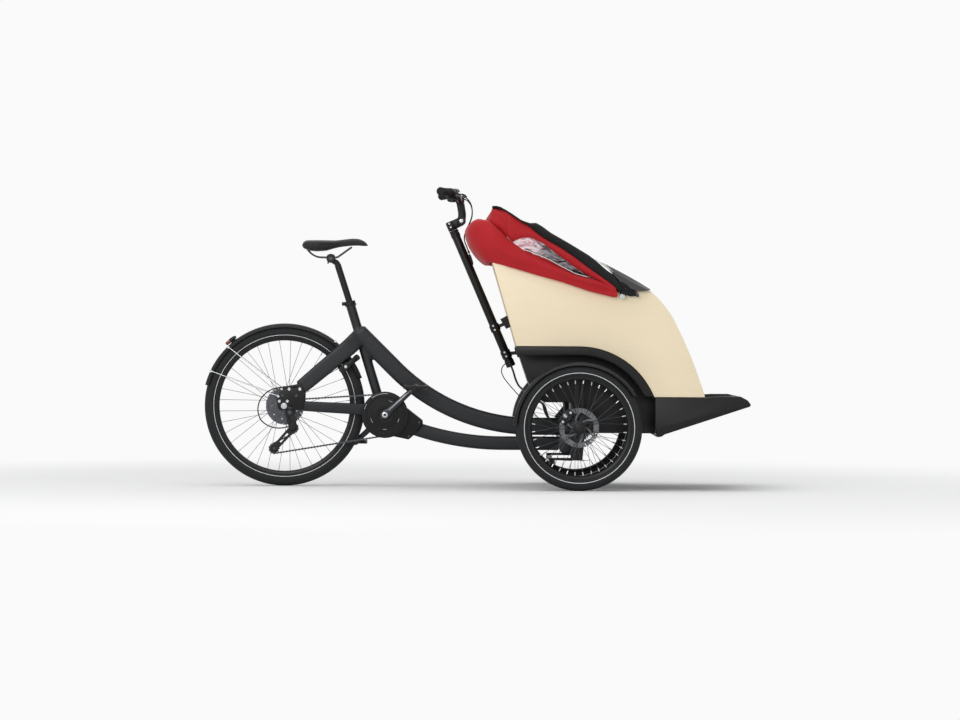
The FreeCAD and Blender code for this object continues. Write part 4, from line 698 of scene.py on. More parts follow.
# Seat collar with its quick-release lever, at the top of the seat tube.
up = np.array([-0.3074, 0, 0.9516])
top = np.array([seatHigh[0], 0, seatHigh[1]])
collarRing = carried([top - up * 0.013, top - up * 0.012, top + up * 0.002, top + up * 0.003],
    oval(0.0232, 0.0232, 32), scale=[0.94, 1, 1, 0.94])
lug = blockShape((-0.048 + top[0] + 0.016, -0.009, top[2] - 0.014), (top[0] + 0.004 - 0.018, 0.009,
    top[2] + 0.001), 0.002)
pinSpot = top + np.array([-0.026, 0, -0.006])
pin = rodShape(pinSpot - [0, 0.016, 0], pinSpot + [0, 0.018, 0], 0.0035)
lever = wireShape([pinSpot + [0, 0.018, 0], pinSpot + [0.004, 0.025, 0.004], pinSpot + [0.026, 0.031,
    0.003], pinSpot + [0.052, 0.027, -0.002]], 0.0042, 12, (0, 0, 1), 20)
newPiece("seat_collar", together([collarRing, lug, pin, lever]), "chassis", "black_paint")
print("frame made")

# Drive: unit, cranks, ring, sprockets, chain and derailleur

# Drive unit: the CAD block with rounded edges, a round cover each side and screws.
driveSettings = {"axis": (-0.369, 0.295), "half": 0.04, "screws": mm([(-45, 62), (30, 70), (78, 20),
    (140, -30), (98, -88), (30, -78), (-52, -35)])}
motorBlack = coated("motorBlack", (10, 10, 11), 0.42, {"size": 9, "spread": 0.1}, {"size": 1100,
    "pebble": 0.5, "strength": 0.15}, {"Specular IOR Level": 0.25})
softened("motor", 0.006, "black_plastic", "chassis", 3, 40, finish=motorBlack)
axisX, axisZ = driveSettings["axis"]
covers, screws = [], []
for sign in (1, -1):
    face = sign * driveSettings["half"]
    profile = mm([(14, 0), (14, 9), (30, 9.5), (34, 7), (52, 6.5), (56, 4.5), (62, 3.5), (64, -1)])
    covers.append(turnedShape([(r, face + sign * h) for r, h in profile], (axisX, 0, axisZ), 64))
    for x, z in driveSettings["screws"]:
        screws.append(boltShape((axisX + x, face - sign * 0.0006, axisZ + z), 0.0045, 0.0022, sign, 14))
newPiece("motor_covers", together(covers), "chassis", "black_paint", closed=False)
newPiece("motor_screws", together(screws), "chassis", "steel", finish=darkSteel)

# Cranks: ring with teeth and five windows, guard disc with turned ridges, forged arms and their bolts.
crankSettings = {"length": 0.17, "angle": 42.7, "teeth": 42, "line": 0.052, "guard": 0.0965}
pitch = 0.0127


def pitchRadius(teeth):
    return pitch / (2 * math.sin(math.pi / teeth))


def toothedOutline(teeth, first=0.0):
    # the pitch circle pushed out at each tooth and in at each roller seat
    angles = np.linspace(0, 2 * np.pi, teeth * 8, endpoint=False)
    wave = np.cos(angles * teeth)
    reach = pitchRadius(teeth) + 0.0034 * np.sign(wave) * np.abs(wave) ** 0.7
    return np.stack([reach * np.cos(angles + first), reach * np.sin(angles + first)], -1)


def sectorHole(inner, outer, start, end, round_=0.12):
    # a window between two circles, its corners cut back a little
    cut = (end - start) * round_
    angles = np.radians(np.concatenate([[start], np.linspace(start + cut, end - cut, 8), [end]]))
    reachOut = np.concatenate([[outer - 0.003], np.full(8, outer), [outer - 0.003]])
    reachIn = np.concatenate([[inner + 0.003], np.full(8, inner), [inner + 0.003]])
    rim = np.stack([reachOut * np.cos(angles), reachOut * np.sin(angles)], -1)
    back = np.stack([reachIn * np.cos(angles), reachIn * np.sin(angles)], -1)[::-1]
    return np.vstack([rim, back])


ringY = -crankSettings["line"]
ringHoles = [circle((0, 0), 0.02, 40)] + [sectorHole(0.046, 0.073, start + 8, start + 64)
    for start in range(0, 360, 72)]
ring = cutPlate([toothedOutline(crankSettings["teeth"])] + ringHoles, ringY - 0.001,
    ringY + 0.001, 0.0004)
axis = (axisX, 0, axisZ)
newPiece("chainring", placed(ring, axis), "crank", "alloy", (), 30, finish=darkSteel)
guardProfile = [(0.02, ringY - 0.0145), (0.022, ringY - 0.015), (0.036, ringY - 0.0148),
    (0.0375, ringY - 0.0128), (0.052, ringY - 0.0118), (0.0535, ringY - 0.0102), (0.0735, ringY - 0.0094),
    (0.075, ringY - 0.0104), (0.0795, ringY - 0.0104), (0.081, ringY - 0.0092), (0.0915, ringY - 0.0092),
    (0.0955, ringY - 0.0085), (crankSettings["guard"] - 0.0016, ringY - 0.007), (0.0946, ringY - 0.0055),
    (0.0915, ringY - 0.0062), (0.02, ringY - 0.0062)]
newPiece("chain_guard_disc", ringShape(guardProfile, axis, 120), "crank", "black_plastic", (), 25,
    finish=motorBlack)


def armShape(sign):
    # the crank arm: flattened ovals from a broad boss to a pedal eye, thinner and narrower in the middle
    share = np.linspace(-0.022, crankSettings["length"] + 0.014, 44)
    part = np.clip(share / crankSettings["length"], 0, 1)
    high = 0.0138 - 0.0035 * part + 0.007 * np.exp(-(share / 0.022) ** 2) + 0.0035 * np.exp(-((share -
        0.168) / 0.014) ** 2)
    ends = np.sqrt(np.clip(1 - np.clip((-0.004 - share) / 0.0185, 0, 1) ** 2, 0.02,
        1)) * np.sqrt(np.clip(1 - np.clip((share - 0.17) / 0.0145, 0, 1) ** 2, 0.02, 1))
    thick = 0.0072 + 0.0015 * np.exp(-(share / 0.03) ** 2)
    path = np.stack([share, np.full(len(share), sign * 0.071), np.zeros(len(share))], -1)
    return carried(path, oval(1, 1, 24, 3.2), (0, 1, 0), np.stack([thick, high * ends], -1))


arms, eyes, pedalAxles = [], [], []
for sign, turn in ((-1, -crankSettings["angle"]), (1, 180 - crankSettings["angle"])):
    arms.append(placed(armShape(sign), axis, turn))
    eyes.append(placed(boltShape((0, sign * 0.0775, 0), 0.0115, 0.004, sign, 28), axis, turn))
    eyes.append(placed(boltShape((crankSettings["length"], sign * 0.0775, 0), 0.0062, 0.0015, sign,
        20), axis, turn))
    pedalAxles.append(placed(rodShape((crankSettings["length"], sign * 0.07, 0), (crankSettings["length"],
        sign * 0.181, 0), 0.005, 16, 0.001), axis, turn))
spindle = rodShape((0, -0.074, 0), (0, 0.074, 0), 0.0118, 28, 0.001)
forgedDark = coated("forgedDark", (52, 54, 57), 0.32, {"size": 12, "spread": 0.12}, {"size": 600,
    "pebble": 0.4, "strength": 0.1}, {"Metallic": 0.75})
newPiece("crank_arms", together(arms), "crank", "alloy", ("crankset",), 40, finish=forgedDark)
# Bright alloy strips along the arms' outer faces: a painted highlight along each arm.
armHighlights = [placed(carried([(reach, sign * 0.0785, 0.003) for reach in (0.024, 0.026, 0.15, 0.152)],
    oval(0.0012, 0.0026, 12, 3), (0, 1, 0), [0.4, 1, 1, 0.4]), axis, turn) for sign,
    turn in ((-1, -crankSettings["angle"]), (1, 180 - crankSettings["angle"]))]
newPiece("crank_arm_highlights", together(armHighlights), "crank", "alloy")
# Thin bright alloy arcs on the guard's turned rings: painted highlights, the longest across the guard's
# top.
guardHighlightArcs = [carried([(axisX + r * math.cos(a), ringY - 0.0096, axisZ + r * math.sin(a))
    for a in np.radians(np.linspace(start, end, 12))], oval(0.0009, 0.0014, 8), (0, 1, 0)) for r, start,
    end in ((0.087, 82, 128), (0.087, 150, 165), (0.06, 195, 214), (0.06, 262, 276), (0.06, 330, 345),
    (0.06, 60, 74))]
newPiece("chain_guard_highlight_arcs", together(guardHighlightArcs), "crank", "alloy")
newPiece("crank_bolts", together(eyes), "crank", "steel")
newPiece("crank_spindle", together([placed(spindle, axis)] + pedalAxles), "crank", "steel")

# Pedals: an open platform with a moulded centre and traction pins.
pedalOutline = np.array(mm([(-46, -32), (-40, -44), (40, -44), (46, -32), (46, 32), (40, 44),
    (-40, 44), (-46, 32)]))
for side, sign in (("left", 1), ("right", -1)):
    low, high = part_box("pedal_" + side)
    spot = np.array([(low.x + high.x) / 2, sign * 0.137, (low.z + high.z) / 2])
    windows = [np.array([(a, -0.036), (b, -0.036), (b, 0.036), (a, 0.036)]) for a, b in ((-0.036, -0.013),
        (0.013, 0.036))]
    frameShape, frameFaces = cutPlate([pedalOutline] + windows, -0.0075, 0.0075, 0.0016)
    frameShape = frameShape[:, [0, 2, 1]] * [1, 1, -1]
    sleeve = rodShape((0, -0.047, 0), (0, 0.047, 0), 0.0095, 20, 0.002)
    pins = [rodShape((x, y, -0.0088), (x, y, 0.0088), 0.0016, 8) for x in (-0.041, 0.041)
        for y in (-0.034, -0.017, 0, 0.017, 0.034)]
    body = "pedal_%s_set" % side
    newPiece("pedal_%s_platform" % side, placed(together([(frameShape, frameFaces), sleeve]), spot), body,
        "black_plastic", ("pedal_" + side,), 40)
    newPiece("pedal_%s_pins" % side, placed(together(pins), spot), body, "steel")

# Sprockets: toothed plates with slots through them, and a lock ring.
cassetteSettings = {"teeth": [11, 13, 15, 18, 21, 24, 28, 32, 36], "from": -0.0535, "to": -0.0235}
rearAxle = np.array([-0.784, 0, 0.33])
plates = []
for number, teeth in enumerate(cassetteSettings["teeth"]):
    middle = np.interp(number, (0, len(cassetteSettings["teeth"]) - 1), (cassetteSettings["from"],
        cassetteSettings["to"]))
    outer = pitchRadius(teeth)
    holes = [circle((0, 0), 0.0172, 36)]
    if outer > 0.033:
        slots = 7 if outer < 0.05 else 9
        wide = 360 / slots
        holes += [sectorHole(0.0225, outer - 0.0075, start + wide * 0.18, start + wide * 0.82)
            for start in np.arange(slots) * wide + number * 11]
    if outer > 0.055:
        holes += [circle(around(outer - 0.0058, spot), 0.0014, 8) for spot in np.arange(0, 360, 20)]
    plates.append(cutPlate([toothedOutline(teeth, number * 0.4)] + holes, middle - 0.0009,
        middle + 0.0009, 0.0003))
lockRing = ringShape(mm([(8.5, -56.5), (11.5, -57.2), (15.8, -57.2), (17.2, -56), (17.2, -53.5),
    (8.5, -53.5)]), (0, 0, 0), 36)
# The strong tone spread at a fine size flecks the sprockets bright and dark: partly the steel's own tone,
# partly painted glints.
sprocketSteel = coated("sprocketSteel", (84, 86, 90), 0.36, {"size": 110, "spread": 0.55}, {"size": 500,
    "pebble": 0.3, "strength": 0.1}, {"Metallic": 0.85})
newPiece("sprockets", placed(together(plates), rearAxle), "wheel_rear", "steel", ("cassette",), 30,
    finish=sprocketSteel)
newPiece("sprocket_lock_ring", placed(lockRing, rearAxle), "wheel_rear", "steel", finish=darkSteel)

# Chain: pairs of waisted plates and a roller at each pitch, round the ring, sprocket and both pulleys.
guideSpot, tensionSpot = rearAxle + [0.037, 0, -0.091], rearAxle + [-0.04, 0, -0.176]
course = [(np.array(axis), pitchRadius(42), 1), (rearAxle, pitchRadius(11), 1), (guideSpot, 0.02, -1),
    (tensionSpot, 0.02, 1)]


def tangentPoints(first, second):
    # where the straight run between two circles leaves the first and lands on the second
    (a, ra, sa), (b, rb, sb) = first, second
    line = b - a
    angle = math.atan2(line[2], line[0]) - math.acos((sa * ra - sb * rb) / np.linalg.norm(line))
    normal = np.array([math.cos(angle), 0, math.sin(angle)])
    return a + normal * sa * ra, b + normal * sb * rb


def chainLine():
    # the closed course as close points: a straight run, then the arc round the next circle
    runs = [tangentPoints(course[k], course[(k + 1) % 4]) for k in range(4)]
    line = []
    for k, (spot, radius, sense) in enumerate(course):
        arrive, leave = runs[k - 1][1] - spot, runs[k][0] - spot
        begin, end = math.atan2(arrive[2], arrive[0]), math.atan2(leave[2], leave[0])
        sweep = (end - begin) % (2 * math.pi) if sense > 0 else -((begin - end) % (2 * math.pi))
        turn = begin + np.linspace(0, sweep, 60)
        line.append(spot + radius * np.stack([np.cos(turn), 0 * turn, np.sin(turn)], -1))
        line.append(np.linspace(runs[k][0], runs[k][1], 80)[1:-1])
    return np.concatenate(line)


line = chainLine()
length = np.concatenate([[0], np.cumsum(np.linalg.norm(np.diff(np.vstack([line, line[:1]]),
    axis=0), axis=1))])
links = int(length[-1] / pitch / 2) * 2
even = np.linspace(0, length[-1], links, endpoint=False)
pinSpots = np.stack([np.interp(even, length, np.append(line[:, k], line[0, k])) for k in range(3)], -1)
linkProfile = np.array(mm([(-9.8, 0), (-8.5, 3.3), (-6.4, 4.2), (-3, 3.1), (0, 2.5), (3, 3.1), (6.4, 4.2),
    (8.5, 3.3), (9.8, 0), (8.5, -3.3), (6.4, -4.2), (3, -3.1), (0, -2.5), (-3, -3.1), (-6.4, -4.2),
    (-8.5, -3.3)]))
pieces, rollers = [], []
for k in range(links):
    here, after = pinSpots[k], pinSpots[(k + 1) % links]
    along = (after - here) / np.linalg.norm(after - here)
    normal = np.array([-along[2], 0, along[0]])
    outside = k % 2
    for sign in (1, -1):
        inner = ringY + sign * (0.0022 + 0.0009 * outside)
        outer = inner + sign * 0.0009
        ringPoints = (here + after) / 2 + along * linkProfile[:, :1] + normal * linkProfile[:, 1:]
        both = np.concatenate([ringPoints + [0, inner, 0], ringPoints + [0, outer, 0]])
        pieces.append((both, closedEnds(2, 16, [gridFaces(2, 16, False, True)])))
    rollers.append(rodShape(here + [0, ringY - 0.0037, 0], here + [0, ringY + 0.0037, 0], 0.0019, 8))
    rollers.append(rodShape(here + [0, ringY - 0.0022, 0], here + [0, ringY + 0.0022, 0], 0.0037, 10))
newPiece("chain_plates", together(pieces), "chassis", "steel", ("chain",), 30, finish=darkSteel)
newPiece("chain_rollers", together(rollers), "chassis", "steel", (), 30)

# Derailleur: knuckle and parallelogram under the hanger, a slotted cage and two toothed pulleys.
cageAlong = (tensionSpot - guideSpot) / np.linalg.norm(tensionSpot - guideSpot)
cageSide = np.array([-cageAlong[2], 0, cageAlong[0]])


def cageOutline(inset=0.0):
    # a rounded strap round both pulleys, wider at the guide pulley
    turns = np.linspace(-90, 90, 12)
    spots = []
    for spot, reach, flip in ((guideSpot, 0.0145 - inset, 180), (tensionSpot, 0.0125 - inset, 0)):
        angles = np.radians(turns + flip)
        spots.append(spot + cageAlong * (np.cos(angles) * reach)[:, None] + cageSide * (np.sin(angles) *
            reach)[:, None])
    return np.concatenate(spots)[:, [0, 2]]


middle = (guideSpot + tensionSpot) / 2
slotHole = np.array([middle - cageAlong * 0.026 - cageSide * 0.004, middle - cageAlong * 0.026 +
    cageSide * 0.004, middle + cageAlong * 0.022 + cageSide * 0.0035, middle + cageAlong * 0.022 -
    cageSide * 0.0035])[:, [0, 2]]
cages = [cutPlate([cageOutline(), slotHole], ringY + low, ringY + low + 0.0015, 0.0003)
    for low in (-0.0065, 0.005)]
pulleys, caps = [], []
for spot in (guideSpot, tensionSpot):
    outline = toothedOutline(11) * 0.88
    pulleys.append(placed(cutPlate([outline, circle((0, 0), 0.005, 16)] + [circle(around(0.0105, a),
        0.002, 8) for a in range(0, 360, 72)], ringY - 0.001, ringY + 0.001, 0.0003), spot))
    caps.append(boltShape(spot + [0, ringY - 0.0065, 0], 0.0048, 0.002, -1, 18))
    caps.append(rodShape(spot + [0, ringY - 0.0062, 0], spot + [0, ringY + 0.0062, 0], 0.0035, 14))
hanger = rearAxle + [0.024, 0, -0.034]
knuckle = carried([hanger + [0, -0.0815, 0.006], hanger + [0, -0.079, 0.006], hanger + [0, -0.062, 0.004],
    hanger + [0, -0.0595, 0.004]], oval(0.0175, 0.0175, 28, 2.4), (1, 0, 0), [0.86, 1, 1, 0.86])
lowerKnuckle = carried([guideSpot + [-0.002, -0.0815, 0.008], guideSpot + [-0.002, -0.079, 0.008],
    guideSpot + [-0.002, -0.06, 0.008], guideSpot + [-0.002, -0.0588, 0.008]], oval(0.0165, 0.0165, 28,
    2.4), (1, 0, 0), [0.86, 1, 1, 0.86])
linkOut = carried(eased([hanger + [0.006, -0.077, 0.004], (hanger + guideSpot) / 2 + [0.008, -0.078,
    0.004], guideSpot + [0.004, -0.077, 0.01]], 12), oval(0.0035, 0.012, 16, 3.5))
linkIn = carried(eased([hanger + [-0.006, -0.065, 0.0], guideSpot + [-0.01, -0.064, 0.012]], 6),
    oval(0.004, 0.01, 16, 3.5))
hangerArm = blockShape(hanger + [-0.009, -0.0807, -0.006], hanger + [0.012, -0.0755, 0.031], 0.0016)
newPiece("derailleur_body", together([knuckle, lowerKnuckle, linkOut, linkIn, hangerArm]), "chassis",
    "black_paint", ("derailleur",), 40)
newPiece("derailleur_cage", together(cages + pulleys), "chassis", "black_plastic", (), 30)
newPiece("derailleur_bolts", together(caps + [boltShape(hanger + [0, -0.0815, 0.006], 0.008, 0.002, -1,
    24)]), "chassis", "steel", finish=darkSteel)
axleNuts = []
for sign in (1, -1):
    axleNuts.append(turnedShape(mm([(0, 83.8), (4.5, 83.8), (5.5, 83), (5.8, 75)]) if sign < 0
        else mm([(0, 91.8), (4.5, 91.8), (5.8, 90.5), (5.8, 75)]), (0, 0, 0), 24))
    spots, faces = axleNuts[-1]
    axleNuts[-1] = (spots * [1, sign, 1] + rearAxle, faces)
    nut = turnedShape(mm([(5.8, 81.2), (8.8, 81.2), (10.2, 80.2), (10.2, 75.6), (5.8, 75.2)]),
        (0, 0, 0), 6)
    axleNuts.append((nut[0] * [1, sign, 1] + rearAxle, nut[1]))
    washer = turnedShape(mm([(5.8, 76.8), (12.2, 76.8), (12.5, 75.2), (5.8, 75)]), (0, 0, 0), 30)
    axleNuts.append((washer[0] * [1, sign, 1] + rearAxle, washer[1]))
axleNuts.append(rodShape(rearAxle - [0, 0.082, 0], rearAxle + [0, 0.085, 0], 0.0058, 20))
newPiece("rear_axle_nuts", together(axleNuts), "chassis", "steel", ("rear_axle",), 30)
print("drive made")

# Saddle, post, fenders, tail light and ring lock

# Seat post: a turned tube, a forged head, two clamp bolts and round rails.
clampSpot = np.array([-0.5963, 0, 0.938])
headSpot = np.array([-0.5683, 0, 0.912])
postTube = carried(mm([(-489.8, 0, 668), (-563.5, 0, 896.5), (-568.3, 0, 911.5)]),
    oval(0.0136, 0.0136, 32))
neck = carried(eased([headSpot + [0.003, 0, -0.01], headSpot + [-0.003, 0, 0.006],
    (headSpot + clampSpot) / 2, clampSpot + [0.004, 0, -0.004]], 16), oval(0.0125, 0.0125, 24, 2.6),
    (0, 1, 0), np.stack([1 + 0.25 * np.linspace(0, 1, 16), 1 - 0.1 * np.linspace(0, 1, 16)], -1))
clampDrum = rodShape(clampSpot - [0, 0.0275, 0], clampSpot + [0, 0.0275, 0], 0.0185, 40, 0.003)
clampPad = blockShape(clampSpot + [-0.017, -0.031, 0.0035], clampSpot + [0.017, 0.031, 0.0105], 0.0028)
newPiece("seat_post_round", together([postTube, neck, clampDrum, clampPad]), "chassis", "black_paint",
    ("seat_post",), 40)
clampHeads = [rodShape(clampSpot + [x, 0, -0.0225], clampSpot + [x, 0, 0.016], 0.003, 12)
    for x in (-0.012, 0.012)]
clampHeads += [boltShape(clampSpot + [0, sign * 0.0275, 0], 0.009, 0.0025, sign, 24) for sign in (1, -1)]
newPiece("saddle_clamp_bolts", together(clampHeads), "chassis", "steel", finish=darkSteel)
rails = []
for sign in (1, -1):
    points = mm([(-96, 37, 36), (-84, 36, 22), (-66, 30, 10), (-46, 24, 4.5), (-10, 24, 4), (22, 24, 4),
        (40, 22, 14), (62, 18, 30), (86, 14, 47)])
    rails.append(wireShape([clampSpot + [x, sign * y, z] for x, y, z in points], 0.0036, 12,
        (0, 1, 0), 48))
newPiece("saddle_rails_round", together(rails), "chassis", "steel", ("saddle_rails",), 60,
    finish=darkSteel)

# Saddle: widths and heights set along its length, crowned across, with a shallow groove and a tucked-
# under edge.
saddleSettings = {
    "under": mm([(-118, 50), (-113, 36), (-104, 26), (-86, 18), (-61, 14), (-20, 18), (0, 27), (13, 33),
        (38, 40), (79, 45), (140, 47.5), (152, 51.5)]),
    "top": mm([(-118, 54), (-115, 65), (-108, 71), (-98, 74.5), (-41, 75.5), (21, 74.5), (54, 78.5),
        (88, 82.5), (116, 81), (138, 71.5), (148, 62), (152, 53.5)]),
    "half": mm([(-118, 34), (-115, 50), (-106, 62), (-85, 69), (-50, 70), (-10, 53), (40, 28),
        (100, 21.5), (140, 17.5), (149, 12), (152, 6)]),
    "groove": 0.0032,
}
along = -0.118 + 0.27 * (0.5 - 0.5 * np.cos(np.linspace(0, np.pi, 84)))
under, top, half = (np.interp(along, *np.array(saddleSettings[key]).T) for key in ("under",
    "top", "half"))
kernel = np.array([1, 2, 3, 2, 1]) / 9
under, top, half = (np.convolve(np.pad(row, 2, "edge"), kernel, "valid") for row in (under, top, half))
turn = np.linspace(0, 2 * np.pi, 56, endpoint=False)
across = np.sign(np.cos(turn)) * np.abs(np.cos(turn)) ** 0.72
rise = np.sin(turn)
deep = top - under
groove = saddleSettings["groove"] * np.exp(-(across / 0.2) ** 2)[None, :] * (rise > 0)[None,
    :] * np.clip((0.085 - np.abs(along - 0.005)) * 14, 0, 1)[:, None]
shoulder = top - np.minimum(0.013, 0.42 * deep)
upper = shoulder[:, None] + (top - shoulder)[:, None] * (np.abs(rise) ** 0.75)[None, :] * (1 - 0.18 *
    np.abs(across) ** 3)[None, :] - groove
skirt = 0.42 + 0.58 * np.abs(across)[None, :] ** 1.5
lower = shoulder[:, None] - (shoulder - under)[:, None] * (np.abs(rise) ** 0.5)[None, :] * skirt
height = np.where(rise[None, :] >= 0, upper, lower)
width = half[:, None] * across[None, :] * np.where(rise[None, :] < 0, 1 - 0.16 * np.abs(rise)[None, :], 1)
spots = np.stack([np.broadcast_to((clampSpot[0] + along)[:, None], height.shape), width, clampSpot[2] +
    height], -1).reshape(-1, 3)
saddle = newPiece("saddle_padded", (spots, closedEnds(84, 56, [gridFaces(84, 56, False, True)])),
    "chassis", "saddle_cover", ("saddle",), 70)
piping = []
for sign in (1, -1):
    edge = np.stack([clampSpot[0] + along, sign * half, clampSpot[2] + shoulder + 0.0005], -1)[3:-3]
    piping.append(wireShape(edge, 0.0011, 8, (0, 0, 1)))
newPiece("saddle_seam", together(piping), "chassis", "saddle_cover")

# Fenders: an arched section with rolled edges, carried round the tyre; stays are bent wire with an eye at
# each end.
fenderSettings = {
    "rear": {"radius": 0.3375, "from": 20.0, "to": 165.6, "half": 0.0295, "skirt": 0.0125},
    "front": {"radius": 0.2635, "from": 30.0, "to": 178.0, "half": 0.0305, "skirt": 0.01},
}


def fenderShape(values, centre, thick=0.0018):
    # across: flat on top, curving down into skirts at both sides; closed by the same line a wall's
    # thickness lower
    share = np.linspace(-1, 1, 25)
    across = values["half"] * np.sign(share) * np.abs(share) ** 0.9
    sink = values["skirt"] * np.abs(share) ** 5 + 0.0035 * share ** 2
    outer = np.stack([values["radius"] + 0.0015 - sink, across], -1)
    slope = np.gradient(outer, axis=0)
    slope /= np.linalg.norm(slope, axis=1)[:, None]
    inner = (outer + np.stack([-np.abs(slope[:, 1]), np.sign(share) * -np.abs(slope[:, 0])],
        -1) * thick)[::-1]
    profile = np.vstack([outer, inner])
    angles = np.radians(np.linspace(values["from"], values["to"], 120))
    fade = np.clip(np.minimum(angles - angles[0], angles[-1] - angles) / 0.03, 0, 1)
    narrow = 1 - 0.25 * (1 - np.sqrt(1 - (1 - fade) ** 2))
    spots = np.stack([profile[None, :, 0] * np.cos(angles)[:, None], profile[None, :, 1] * narrow[:,
        None], profile[None, :, 0] * np.sin(angles)[:, None]], -1)
    return spots.reshape(-1, 3) + np.asarray(centre), closedEnds(len(angles), len(profile),
        [gridFaces(len(angles), len(profile), False, True)])


newPiece("rear_fender_arched", fenderShape(fenderSettings["rear"], rearAxle), "chassis", "black_plastic",
    ("rear_fender",), 50)
fenderWires, fenderClips = [], []
for angle, x, z in ((134, -0.01, 0.07), (155, -0.024, 0.04)):
    for sign in (1, -1):
        tip = rearAxle + [0.334 * math.cos(math.radians(angle)), sign * 0.0308,
            0.334 * math.sin(math.radians(angle))]
        foot = rearAxle + [x, sign * 0.0795, z]
        fenderWires.append(wireShape([foot, foot + (tip - foot) * 0.06, foot + (tip - foot) * 0.5, tip],
            0.0017, 10, (0, 1, 0), 24))
        fenderClips.append(boltShape(foot - [0, sign * 0.0035, 0], 0.0058, 0.007, sign, 16))
        fenderClips.append(boltShape(tip - [0, sign * 0.002, 0], 0.0055, 0.005, sign, 16))
newPiece("rear_fender_stays", together(fenderWires), "chassis", "steel")
bridgeBolt = rearAxle + [0.338 * math.cos(math.radians(52)), -0.03, 0.338 * math.sin(math.radians(52))]
fenderClips.append(boltShape(bridgeBolt, 0.005, 0.004, -1, 16))
newPiece("rear_fender_bolts", together(fenderClips), "chassis", "steel")

# Tail light: a lens shaped like a shallow loaf in a black shell, on a bracket that follows the fender.
lightSettings = {"angle": 129.8, "reach": 0.339}
turnLight = lightSettings["angle"]
lightSpot = rearAxle + [lightSettings["reach"] * math.cos(math.radians(turnLight)), 0,
    lightSettings["reach"] * math.sin(math.radians(turnLight))]
shellPath = mm([(-4, 0, 10), (4, 0, 10.5), (18, 0, 10), (26, 0, 8.5)])
shell = carried(shellPath, oval(0.0145, 0.0085, 28, 3), (0, 1, 0), [[1, 1], [1.0, 1.0], [0.93, 0.8],
    [0.62, 0.5]])
lensPath = mm([(-26.2, 0, 9.5), (-25, 0, 9.6), (-21, 0, 9.8), (-12, 0, 10), (-3.5, 0, 10)])
lensShape = carried(lensPath, oval(0.0142, 0.0078, 28, 3), (0, 1, 0), [[0.55, 0.45], [0.82, 0.78],
    [0.96, 0.95], [1, 1], [1, 1]])
foot = carried(mm([(-10, 0, -3), (0, 0, -0.5), (14, 0, 0.5), (24, 0, -3)]), oval(0.011, 0.0028, 20, 4))
newPiece("tail_light_lens", placed(lensShape, lightSpot, turnLight - 90 - 2 * (turnLight - 90)),
    "chassis", "lamp_red", ("tail_light",), 40)
newPiece("tail_light_shell", placed(together([shell, foot]), lightSpot, turnLight - 90 - 2 * (turnLight -
    90)), "chassis", "black_plastic", (), 40)

# Ring lock: a horseshoe that bridges the fender, with a lock body on top and a mounting plate under the
# stays.
lockReach = 0.281
lockSide = np.array([stayAlong[2], 0, -stayAlong[0]])
archAngles = np.linspace(math.radians(-28), math.radians(208), 44)
archLine = np.stack([lockReach + 0.03 + 0.046 * np.sin(archAngles), 0.049 * np.cos(archAngles)], -1)
lockPoints = rearAxle - stayAlong * archLine[:, :1] + np.array([0, 1, 0]) * archLine[:,
    1:] - lockSide * 0.0435
horseshoe = carried(lockPoints, oval(0.011, 0.0095, 20, 3.2), lockSide)
bodyLow = rearAxle - stayAlong * (lockReach + 0.073) - lockSide * 0.0435
lockBody = carried([bodyLow + [0, -0.034, 0], bodyLow + [0, -0.03, 0], bodyLow + [0, 0.03, 0],
    bodyLow + [0, 0.034, 0]], oval(0.0125, 0.0115, 24, 3), lockSide, [0.8, 1, 1, 0.8])
keySpot = rearAxle - stayAlong * (lockReach + 0.01) - lockSide * 0.0435
sideBox = carried([keySpot + [0, -0.06, 0], keySpot + [0, -0.0585, 0], keySpot + [0, -0.044, 0],
    keySpot + [0, -0.042, 0]], oval(0.014, 0.026, 24, 3.4), lockSide, [0.9, 1, 1, 0.9])
newPiece("ring_lock_round", together([horseshoe, lockBody, sideBox]), "chassis", "black_plastic",
    ("ring_lock",), 45)
newPiece("ring_lock_barrel", rodShape(keySpot + [0.004, -0.0595, 0.004], keySpot + [0.004, -0.0625,
    0.004], 0.0062, 24, 0.0008), "chassis", "steel")
print("saddle, fenders, light and lock made")

# Steered front corners

rotorSettings = {"outer": 0.08, "track": 0.0655, "bolts": 0.022, "arms": 6, "thick": 0.0018}


def rotorPlate(sweep):
    # an outline with shallow scallops, swept windows between arms, and rows of small round and slanted
    # holes
    values = rotorSettings
    angles = np.linspace(0, 2 * np.pi, 240, endpoint=False)
    edge = values["outer"] - 0.0012 * (0.5 + 0.5 * np.cos(angles * 18)) ** 3
    outline = np.stack([edge * np.cos(angles), edge * np.sin(angles)], -1)
    holes = [circle((0, 0), 0.0135, 32)]
    wide = 360 / values["arms"]
    for arm in range(values["arms"]):
        first = arm * wide
        reach = np.linspace(0.0265, values["track"] - 0.0015, 9)
        bend = sweep * (reach - 0.0265) / (values["track"] - 0.028) * 34
        sideA = np.array([around(r, first + 6.5 + b) for r, b in zip(reach, bend)])
        sideB = np.array([around(r, first + wide - 6.5 + b + (r - 0.0265) * 90) for r, b in zip(reach,
            bend)])[::-1]
        holes.append(np.vstack([sideA, sideB]))
        holes.append(circle(around(0.02, first + 2), 0.0022, 10))
    for number in range(36):
        holes.append(circle(around(0.0762, number * 10 + 3), 0.0022, 8))
        if number % 3 != 2:
            holes.append(circle(around(0.0702, number * 10 + 8 - sweep * 3), 0.0023, 8))
    return outline, holes


